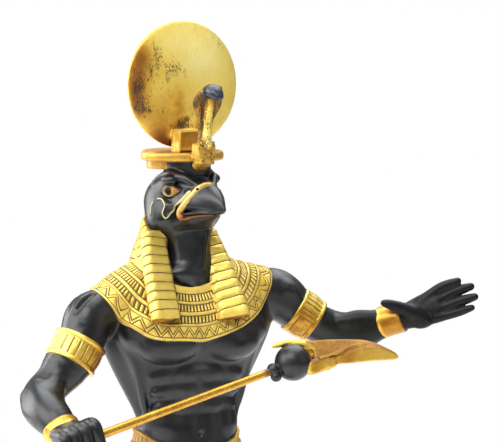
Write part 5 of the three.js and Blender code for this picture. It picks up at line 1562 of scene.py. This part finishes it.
# ------------------------------------------------------------------ plinth
def plinth_mesh():
    """A low base with a lip, a recessed band and a top edge; rings of points, closed by smaller rings and a centre
    point on top and a centre point below.
    """
    hx, hy = 42.0, 36.0
    prof = [(0.6, 0.0), (0.15, 0.25), (0.0, 0.7), (0.0, 3.8), (0.15, 4.25), (0.5, 4.55), (1.0, 4.75), (1.2, 5.1), (1.2, 8.4), (1.05, 8.75), (0.55, 9.1), (0.32, 9.5), (0.3, 10.6), (0.36, 11.3), (0.6, 11.75), (1.0, 11.95), (1.5, 12.0)]
    n = 44

    def ring(inset, z, r):
        out = []
        ax, ay = hx - inset, hy - inset
        for qx, qy, a0 in ((1, -1, -90), (1, 1, 0), (-1, 1, 90), (-1, -1, 180)):
            for k in range(7):
                a = math.radians(a0 + 90 * k / 6)
                out.append((qx * (ax - r) + r * math.cos(a), qy * (ay - r) + r * math.sin(a), z))
            # straight side to the next corner
            if qx == 1 and qy == -1:
                out += [(ax, -(ay - r) + 2 * (ay - r) * k / n, z) for k in range(1, n)]
            elif qx == 1:
                out += [((ax - r) - 2 * (ax - r) * k / n, ay, z) for k in range(1, n)]
            elif qy == 1:
                out += [(-ax, (ay - r) - 2 * (ay - r) * k / n, z) for k in range(1, n)]
            else:
                out += [(-(ax - r) + 2 * (ax - r) * k / n, -ay, z) for k in range(1, n)]
        return out

    rows = [ring(i, z, max(1.6 - i, 0.5)) for i, z in prof]
    for s in (0.94, 0.86, 0.76, 0.64, 0.5, 0.34, 0.16):
        rows.append([(x * s, y * s, 12.0) for x, y, _ in rows[16]])
    m = len(rows[0])
    pts = [p for r in rows for p in r]
    faces = []
    for i in range(len(rows) - 1):
        for k in range(m):
            a, b = i * m + k, i * m + (k + 1) % m
            c, d = a + m, b + m
            faces += [(a, b, d), (a, d, c)]
    pts += [(0, 0, 12.0), (0, 0, 0.0)]
    last = (len(rows) - 1) * m
    for k in range(m):
        faces.append((last + k, last + (k + 1) % m, len(pts) - 2))
        faces.append(((k + 1) % m, k, len(pts) - 1))
    me = mesh_from("plinth_cast", np.array(pts, float), np.array(faces, int))
    return me


plinth = plinth_mesh()
pz = points_of(plinth)[:, 2]
attribute(plinth, "lip", ramp(pz, 9.05, 9.35) * ramp(pz, 12.0, 11.9))


# ------------------------------------------------------------------ materials
class Val:
    """A shader value that can be used in arithmetic."""

    def __init__(self, g, out):
        self.g, self.out = g, out

    def _m(self, op, *o, clamp=False):
        n = self.g.nt.nodes.new("ShaderNodeMath")
        n.operation, n.use_clamp = op, clamp
        for i, v in enumerate((self, *o)):
            if isinstance(v, Val):
                self.g.nt.links.new(v.out, n.inputs[i])
            else:
                n.inputs[i].default_value = v
        return Val(self.g, n.outputs[0])

    def __add__(self, o): return self._m("ADD", o)
    def __radd__(self, o): return self._m("ADD", o)
    def __sub__(self, o): return self._m("SUBTRACT", o)
    def __rsub__(self, o): return self._m("MULTIPLY", -1.0)._m("ADD", o)
    def __mul__(self, o): return self._m("MULTIPLY", o)
    def __rmul__(self, o): return self._m("MULTIPLY", o)
    def __truediv__(self, o): return self._m("DIVIDE", o)
    def abs(self): return self._m("ABSOLUTE")
    def floor(self): return self._m("FLOOR")
    def fract(self): return self._m("FRACT")
    def round(self): return self._m("ROUND")
    def max(self, o): return self._m("MAXIMUM", o)
    def min(self, o): return self._m("MINIMUM", o)
    def less(self, o): return self._m("LESS_THAN", o)
    def more(self, o): return self._m("GREATER_THAN", o)
    def power(self, o): return self._m("POWER", o)
    def clamp(self): return self._m("ADD", 0.0, clamp=True)

    def step(self, a, b):
        """0 at a, 1 at b, smoothly."""
        n = self.g.nt.nodes.new("ShaderNodeMapRange")
        n.interpolation_type = "SMOOTHSTEP"
        self.g.nt.links.new(self.out, n.inputs["Value"])
        lo, hi, t0, t1 = (a, b, 0.0, 1.0) if a < b else (b, a, 1.0, 0.0)
        n.inputs["From Min"].default_value, n.inputs["From Max"].default_value = lo, hi
        n.inputs["To Min"].default_value, n.inputs["To Max"].default_value = t0, t1
        return Val(self.g, n.outputs["Result"])


class Graph:
    def __init__(self, name):
        self.mat = bpy.data.materials.new(name)
        self.mat.use_nodes = True
        self.nt = self.mat.node_tree
        self.nt.nodes.clear()
        self.coord = self.nt.nodes.new("ShaderNodeTexCoord").outputs["Object"]
        self.bsdf = self.nt.nodes.new("ShaderNodeBsdfPrincipled")
        out = self.nt.nodes.new("ShaderNodeOutputMaterial")
        self.nt.links.new(self.bsdf.outputs[0], out.inputs["Surface"])

    def attr(self, name):
        n = self.nt.nodes.new("ShaderNodeAttribute")
        n.attribute_type, n.attribute_name = "GEOMETRY", name
        return Val(self, n.outputs["Fac"])

    def noise(self, mm, detail=3.0, rough=0.55, stretch=None, distort=0.0):
        """Noise with features about mm across, 0 to 1 around 0.5."""
        n = self.nt.nodes.new("ShaderNodeTexNoise")
        src = self.coord
        if stretch:
            m = self.nt.nodes.new("ShaderNodeMapping")
            m.inputs["Scale"].default_value = stretch
            self.nt.links.new(src, m.inputs["Vector"])
            src = m.outputs[0]
        self.nt.links.new(src, n.inputs["Vector"])
        n.inputs["Scale"].default_value = 1000.0 / mm
        n.inputs["Detail"].default_value = detail
        n.inputs["Roughness"].default_value = rough
        n.inputs["Distortion"].default_value = distort
        return Val(self, n.outputs["Fac"])

    def cells(self, mm, randomness=1.0, feature="F1"):
        n = self.nt.nodes.new("ShaderNodeTexVoronoi")
        n.feature = feature
        self.nt.links.new(self.coord, n.inputs["Vector"])
        n.inputs["Scale"].default_value = 1000.0 / mm
        n.inputs["Randomness"].default_value = randomness
        return Val(self, n.outputs["Distance"])

    def ramp(self, v, stops):
        n = self.nt.nodes.new("ShaderNodeValToRGB")
        e = n.color_ramp.elements
        while len(e) < len(stops):
            e.new(0.5)
        for k, (p, c) in enumerate(stops):
            e[k].position, e[k].color = p, (*c, 1)
        self.nt.links.new(v.out, n.inputs[0])
        return n.outputs["Color"]

    def mix(self, t, a, b):
        n = self.nt.nodes.new("ShaderNodeMix")
        n.data_type = "RGBA"
        if isinstance(t, Val):
            self.nt.links.new(t.out, n.inputs[0])
        else:
            n.inputs[0].default_value = t
        for i, c in ((6, a), (7, b)):
            if isinstance(c, tuple):
                n.inputs[i].default_value = (*c, 1)
            else:
                self.nt.links.new(c, n.inputs[i])
        return n.outputs[2]

    def bump(self, v, mm):
        n = self.nt.nodes.new("ShaderNodeBump")
        n.inputs["Strength"].default_value = 1.0
        n.inputs["Distance"].default_value = mm / 1000
        self.nt.links.new(v.out, n.inputs["Height"])
        self.nt.links.new(n.outputs[0], self.bsdf.inputs["Normal"])

    def put(self, socket, v):
        if isinstance(v, Val):
            self.nt.links.new(v.out, self.bsdf.inputs[socket])
        elif isinstance(v, (int, float)):
            self.bsdf.inputs[socket].default_value = v
        else:
            self.nt.links.new(v, self.bsdf.inputs[socket])


GOLD_STOPS = [(0.0, (0.14, 0.042, 0.005)), (0.22, (0.33, 0.125, 0.012)), (0.42, (0.56, 0.285, 0.030)), (0.60, (0.77, 0.485, 0.068)), (0.80, (0.91, 0.68, 0.135)), (1.0, (0.97, 0.82, 0.30))]
# brown washed into the cuts, also the painted shade in the creases
WASH_AND_SHADE = (0.018, 0.009, 0.004)
BLACK = (0.0066, 0.0070, 0.0075)


def resin(g):
    """Black casting resin: colour, roughness and fine surface of the bare parts."""
    a = g.noise(9.0, 3)
    b = g.noise(1.1, 2, 0.6)
    colour = g.ramp(a * 0.7 + b * 0.3, [(0.3, (0.0048, 0.0050, 0.0054)), (0.52, BLACK), (0.75, (0.0110, 0.0116, 0.0123))])
    rough = 0.36 + (a - 0.5) * 0.26 + (b - 0.5) * 0.12
    return colour, rough, b


def finish_material(g, gold, tone, dark, worn=0.5, rough=0.36, metal=0.62, grain=1.0, stops=GOLD_STOPS):
    """Black resin under gold paint. gold: 1 where painted, or None if it is all painted. tone: -1 copper to 1 pale
    yellow. dark: brown washed into the cuts, and painted shade in the creases.
    """
    base, base_rough, fine = resin(g)
    cloud = g.noise(6.0, 3, 0.6)
    streak = g.noise(0.9, 3, 0.6)
    t = tone * 0.38 + 0.58 + (cloud - 0.5) * 0.30 + (streak - 0.5) * 0.20
    paint = g.ramp(t, stops)
    speck = g.noise(0.42, 2, 0.7).step(0.64, 0.72) * cloud.step(0.40, 0.60) * worn
    # brown washed into the cuts, painted shade in the creases, and worn specks
    wash_and_shade = (dark + speck * 0.6).clamp()
    colour = g.mix(wash_and_shade, paint, WASH_AND_SHADE)
    shiny = (1 - wash_and_shade * 0.9) * metal
    paint_rough = (streak - 0.5) * 0.24 + (cloud - 0.5) * 0.16 + wash_and_shade * 0.25 + rough
    relief = streak * 0.30 * grain + cloud * 1.4 + wash_and_shade * -0.8
    if gold is None:
        g.put("Base Color", colour)
        g.put("Metallic", shiny)
        g.put("Roughness", paint_rough.clamp())
        g.bump(fine * 0.3 + relief, 0.045)
    else:
        g.put("Base Color", g.mix(gold, base, colour))
        g.put("Metallic", gold * shiny)
        g.put("Roughness", (base_rough * (1 - gold) + gold * paint_rough).clamp())
        g.bump(fine * 0.4 + relief * gold, 0.045)
    g.put("IOR", 1.5)
    return g.mat


def painted_edge(g, wobble=0.14):
    """1 on the gold side of the paint's edge, which wanders a little."""
    return (g.attr("gold") + (g.noise(1.3, 2) - 0.5) * wobble * 2).step(0.05, -0.05)


# how closed in the surface is: where brown is washed into the cuts and painted shade lies in the creases
def creases(g, a=0.25, b=0.75):
    return g.attr("near").step(a, b)


# plain black
g = Graph("black_resin_satin")
c, r, fine = resin(g)
g.put("Base Color", c)
g.put("Roughness", r + g.attr("dull") * 0.08)
g.put("Specular IOR Level", g.attr("dull") * -0.3 + 0.5)
g.put("IOR", 1.5)
g.bump(fine, 0.016)
m_skin = g.mat

# head, with its painted lines
g = Graph("black_resin_head")
line = (g.attr("cheek") + (g.noise(0.8, 2) - 0.5) * 0.1).step(0.06, -0.05)
c, r, fine = resin(g)
g.put("Base Color", g.mix(line * 0.9, c, (0.50, 0.44, 0.19)))
g.put("Roughness", r * 0.94)
# reflections weakened in the broad hollows round the eye and beak, as painted shade
g.put("Specular IOR Level", g.attr("wide").step(0.12, 0.75) * -0.42 + 0.52)
g.put("Metallic", line * 0.2)
g.put("IOR", 1.5)
g.bump(fine, 0.014)
m_head = g.mat

# the band round the beak
g = Graph("copper_gold_cere")
# the band's edges, where it meets the beak, darkened brown as painted shade, with the creases
m_cere = finish_material(g, painted_edge(g, 0.03), g.attr("tone") + (g.noise(2.5, 2) - 0.5) * 0.6, (creases(g, 0.45, 0.95) * 0.5).max(g.attr("gold").step(-0.16, 0.02) * 0.55), 0.3, 0.36, 0.5, 1.0,
                         [(0.0, (0.12, 0.032, 0.006)), (0.35, (0.33, 0.125, 0.018)), (0.6, (0.54, 0.30, 0.060)), (0.8, (0.70, 0.51, 0.165)), (1.0, (0.82, 0.68, 0.33))])

# the eyes
g = Graph("painted_eye")
ex, ez = g.attr("ex"), g.attr("ez")
# an almond whose front corner is drawn out to a wedge
wob = (g.noise(0.7, 3, 0.6) - 0.5) * 0.5
fx, fz = ex + 0.3, ez + 0.15
oval = (fx * fx) * 0.143 + (fz * fz) * 0.29 + wob * 0.3
wedge = (ez + 0.1).abs() * 0.72 + (ex - 1.8) * 0.38
inside = oval.step(1.06, 0.92).max(wedge.step(1.06, 0.92) * ex.step(0.9, 1.1))
pupil = (((ex + 0.1) * (ex + 0.1)) * 0.66 + ((ez + 0.2) * (ez + 0.2)) * 0.56 + wob * 0.25).step(1.12, 0.85)
paint = g.mix((ez * -1.0 - ex * 0.35 + wob).step(0.7, 1.6), (0.15, 0.105, 0.026), (0.30, 0.235, 0.085))
paint = g.mix((ex + wob * 0.6).step(0.5, 1.4), paint, (0.32, 0.18, 0.03))
paint = g.mix((ex + wob * 0.6).step(1.7, 2.4), paint, (0.29, 0.10, 0.022))
paint = g.mix(ex.step(-2.1, -2.6), paint, (0.17, 0.085, 0.05))
# painted shadow of the upper lid across the top of the eye
paint = g.mix(ez.step(1.15, 1.8) * 0.8, paint, (0.05, 0.035, 0.02))
paint = g.mix(pupil, paint, (0.006, 0.004, 0.005))
g.put("Base Color", g.mix(inside, (0.010, 0.010, 0.011), paint))
g.put("Roughness", (wob * 0.3 + 0.34).clamp())
g.put("Specular IOR Level", 0.14)
g.put("IOR", 1.5)
g.bump(g.noise(0.5, 3, 0.6) + inside * 0.6 - pupil * 0.5, 0.03)
m_eye = g.mat

# the wig: engraved lines across
g = Graph("gold_wig")
v = g.attr("wv") + (g.noise(3.0, 2) - 0.5) * 0.10
lines = (v - v.round()).abs().step(0.07, 0.035)
tone = g.attr("tone")
# brown in the engraved lines, with painted shade in the creases and on the right lappet's inner face
brown = (lines * 0.93).max(creases(g, 0.35, 0.9) * 0.85).max(g.attr("cut"))
m_wig = finish_material(g, painted_edge(g), tone, brown, 0.42, 0.38, 0.46, 0.35)

# the collar
g = Graph("gold_collar")
w, u = g.attr("cw"), g.attr("cu")
wn = (g.noise(2.2, 2) - 0.5)
w = w + wn * 0.16
u = u + wn * 0.25
t = ((u / ZIG).fract() * 2 - 1).abs()
sl = (ZHI - ZLO) / (ZIG / 2)
zz = (((w - ZLO - t * (ZHI - ZLO)).abs() * (1 / math.sqrt(1 + sl * sl))) - 0.36).abs()
dark = zz.step(0.24, 0.10) * w.step(0.45, 0.8) * w.step(4.2, 3.95)
dark = dark.max((w - 0.62).abs().step(0.26, 0.12) * 0.85).max((w - 4.3).abs().step(0.24, 0.1) * 0.7)
for a, b, k in RIBS:
    vv = u * k
    gr = (vv - vv.round()).abs().step(0.31, 0.16)
    inside = w.step(a - 0.05, a + 0.1) * w.step(b + 0.05, b - 0.1)
    ends = ((w - a).abs().step(0.30, 0.12)).max((w - b).abs().step(0.30, 0.12))
    dark = dark.max(inside * gr).max(ends * 0.9)
dark = (dark * 0.95).max(creases(g, 0.3, 0.85) * 0.8)
brown = (g.noise(1.8, 3, 0.65)).step(0.52, 0.66) * 0.28
m_collar = finish_material(g, painted_edge(g, 0.1), g.attr("tone"), dark.max(brown), 0.9, 0.42, 0.42)

# bands, kilt, belt, crown
g = Graph("gold_bands")
m_band = finish_material(g, painted_edge(g), g.attr("tone"), (g.attr("cut") * 0.95).max(creases(g, 0.25, 0.75) * 0.75), 0.7, 0.35, 0.66)
g = Graph("gold_kilt")
m_kilt = finish_material(g, painted_edge(g), g.attr("tone"), creases(g, 0.3, 0.8) * 0.9, 0.7, 0.40, 0.6)
# belt: engraved cuts, with painted shade in the creases and down its right side
g = Graph("gold_belt")
m_belt = finish_material(g, painted_edge(g), g.attr("tone"), (g.attr("cut") * 0.85).max(creases(g, 0.3, 0.8) * 0.9), 0.7, 0.40, 0.6)

g = Graph("gold_crown")
dirt = g.attr("dirt")
scratch = g.noise(1.5, 5, 0.75, (1.0, 1.0, 0.35), 0.4)
fleck = g.noise(0.42, 3, 0.7, (1.0, 1.0, 0.6))
v = scratch * 0.5 + fleck * 0.5
rub = (v + dirt * 0.19).step(0.60, 0.675) * 0.85
haze = (g.noise(3.0, 4, 0.6) + dirt * 0.25).step(0.62, 0.9) * 0.35
m_crown = finish_material(g, painted_edge(g), g.attr("tone"), rub.max(haze).max(creases(g, 0.35, 0.9) * 0.75), 0.5, 0.36, 0.38)

g = Graph("black_cobra_head")
c, r, fine = resin(g)
g.put("Base Color", g.mix(g.noise(1.6, 3).step(0.45, 0.7), (0.014, 0.018, 0.028), (0.038, 0.047, 0.066)))
g.put("Roughness", (g.noise(1.0, 3) - 0.5) * 0.3 + 0.30)
g.put("IOR", 1.5)
g.bump(g.noise(1.2, 3), 0.07)
m_cobra = g.mat

# staff
g = Graph("gold_staff_head")
matte = g.attr("matte")
rough = matte * 0.16 + 0.34
m_staff_head = finish_material(g, painted_edge(g, 0.1), g.attr("tone") - matte * 0.05, (creases(g, 0.2, 0.65) * 0.9).max(matte * g.noise(1.5, 4, 0.7).step(0.28, 0.72) * 0.5), 0.8, rough, 0.5)
g = Graph("gold_staff_rod")
grain = g.noise(1.4, 4, 0.6, (0.3, 1.0, 1.0))
dark = (g.attr("end") * (g.noise(0.8, 3) + 0.25)).step(0.35, 0.7) * 0.8
dark = dark.max(g.noise(0.5, 3, 0.7).step(0.70, 0.76) * 0.3)
m_staff_rod = finish_material(g, None, (grain - 0.5) * 0.35 - 0.38, dark, 0.15, 0.27, 0.68, 0.0)

g = Graph("plinth_black")
c, r, fine = resin(g)
dust = g.noise(4.0, 4, 0.65).step(0.52, 0.72)
edge = (g.attr("lip") + (g.noise(1.5, 2) - 0.5) * 0.3).step(0.4, 0.6)
paint = g.ramp(g.noise(3.0, 3), [(0.35, (0.42, 0.20, 0.022)), (0.65, (0.72, 0.45, 0.065))])
g.put("Base Color", g.mix(edge, g.mix(dust * 0.5, c, (0.030, 0.029, 0.027)), paint))
g.put("Metallic", edge * 0.5)
g.put("Roughness", r + dust * 0.15)
g.put("IOR", 1.5)
g.bump(fine + g.noise(5.0, 3) * 1.5, 0.05)
m_plinth = g.mat

# ------------------------------------------------------------------ pieces
MATS = [m_skin, m_head, m_cere, m_wig, m_collar, m_band, m_kilt, m_belt, m_crown, m_cobra, m_eye]
for m in MATS:
    figure.materials.append(m)
figure.polygons.foreach_set("material_index", face_owner(own, D, T).astype(np.int32))
figure.polygons.foreach_set("use_smooth", np.ones(len(figure.polygons), bool))
tn = true_normals(P)
tn = np.where((tn * N).sum(1)[:, None] > 0.3, tn, N)
figure.normals_split_custom_set_from_vertices(tn.tolist())
figure_ob = put("figure_cast", figure)
staff_head.materials.append(m_staff_head)
staff_head.polygons.foreach_set("use_smooth", np.ones(len(staff_head.polygons), bool))
head_ob = put("staff_head_cast", staff_head)
staff_rod.materials.append(m_staff_rod)
staff_rod.polygons.foreach_set("use_smooth", np.ones(len(staff_rod.polygons), bool))
rod_ob = put("staff_rod_cast", staff_rod)
plinth.materials.append(m_plinth)
plinth_ob = put("plinth_cast", plinth)
for ob, node, slot in ((figure_ob, "figure", "black_resin"), (plinth_ob, "plinth", "plinth_black"), (rod_ob, "staff_rod", "gold_rod"), (head_ob, "staff_head", "gold_resin")):
    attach(ob, "root")
    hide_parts(node)

# ------------------------------------------------------------------ camera
AZ, EL, DIST = math.radians(-24), math.radians(4), 1.0
target = Vector((0.01915, -0.00853, 0.2203))
back = Vector((math.sin(AZ) * math.cos(EL), -math.cos(AZ) * math.cos(EL), math.sin(EL)))
cam = bpy.data.cameras.new("camera")
cam.sensor_width, cam.lens = 36.0, 221.5
cam.clip_start, cam.clip_end = 0.05, 20
cam_ob = bpy.data.objects.new("camera", cam)
bpy.context.collection.objects.link(cam_ob)
cam_ob.location = target + back * DIST
cam_ob.rotation_mode = "QUATERNION"
cam_ob.rotation_quaternion = (-back).to_track_quat("-Z", "Y")
bpy.context.scene.camera = cam_ob


# ------------------------------------------------------------------ studio
def area(name, az, el, dist, size, power, colour=(1, 1, 1), height=None):
    """A soft box round the figure; az and el as for the camera."""
    li = bpy.data.lights.new(name, "AREA")
    li.shape, li.size, li.size_y = "RECTANGLE", size, height or size
    li.energy, li.color = power, colour
    ob = bpy.data.objects.new(name, li)
    a, e = math.radians(az), math.radians(el)
    d = Vector((math.sin(a) * math.cos(e), -math.cos(a) * math.cos(e), math.sin(e)))
    ob.location = Vector((0, 0, 0.19)) + d * dist
    ob.rotation_mode = "QUATERNION"
    ob.rotation_quaternion = d.to_track_quat("Z", "Y")
    bpy.context.collection.objects.link(ob)


area("key", -46, 50, 1.1, 0.7, 9.4)
area("left", -93, 26, 1.0, 0.75, 10.0)
area("left_back", -142, 12, 1.1, 0.65, 9.0, height=0.8)
area("top", 150, 70, 1.0, 1.1, 15.0, (0.93, 0.97, 1.0))
area("side", 48, 18, 1.2, 0.5, 1.0, height=0.9)
area("back_right", 140, 35, 1.3, 0.6, 1.4)

world = bpy.data.worlds.new("studio")
world.use_nodes = True
bpy.context.scene.world = world
nt = world.node_tree
nt.nodes.clear()
wo = nt.nodes.new("ShaderNodeOutputWorld")
bg = nt.nodes.new("ShaderNodeBackground")
bg.inputs["Color"].default_value = (1.0, 1.0, 1.0, 1)
bg.inputs["Strength"].default_value = 1.0
dim = nt.nodes.new("ShaderNodeBackground")
tc = nt.nodes.new("ShaderNodeTexCoord")
sep = nt.nodes.new("ShaderNodeSeparateXYZ")
nt.links.new(tc.outputs["Generated"], sep.inputs[0])
cr = nt.nodes.new("ShaderNodeValToRGB")
mr = nt.nodes.new("ShaderNodeMapRange")
mr.inputs["From Min"].default_value, mr.inputs["From Max"].default_value = -1, 1
nt.links.new(sep.outputs["Z"], mr.inputs["Value"])
nt.links.new(mr.outputs["Result"], cr.inputs[0])
e = cr.color_ramp.elements
e[0].position, e[0].color = 0.0, (0.45, 0.45, 0.45, 1)
e[1].position, e[1].color = 1.0, (0.55, 0.56, 0.58, 1)
k = e.new(0.5)
k.color = (0.175, 0.175, 0.18, 1)
nt.links.new(cr.outputs["Color"], dim.inputs["Color"])
dim.inputs["Strength"].default_value = 0.9
lp = nt.nodes.new("ShaderNodeLightPath")
mx = nt.nodes.new("ShaderNodeMixShader")
nt.links.new(lp.outputs["Is Camera Ray"], mx.inputs[0])
nt.links.new(dim.outputs[0], mx.inputs[1])
nt.links.new(bg.outputs[0], mx.inputs[2])
nt.links.new(mx.outputs[0], wo.inputs[0])

# a round pale floor
floor = bpy.data.meshes.new("floor")
floor.from_pydata([(0.74 * math.cos(2 * math.pi * k / 72), 0.74 * math.sin(2 * math.pi * k / 72), 0.0) for k in range(72)], [], [tuple(range(72))])
g = Graph("floor_pale")
g.put("Base Color", g.ramp(g.noise(220, 2), [(0.3, (0.86, 0.86, 0.86)), (0.7, (0.88, 0.88, 0.88))]))
g.put("Roughness", 0.9)
floor.materials.append(g.mat)
floor_ob = put("floor", floor)
floor_ob.location.z = -0.0004

bpy.context.scene.view_settings.view_transform = "Standard"
bpy.context.scene.view_settings.look = "None"
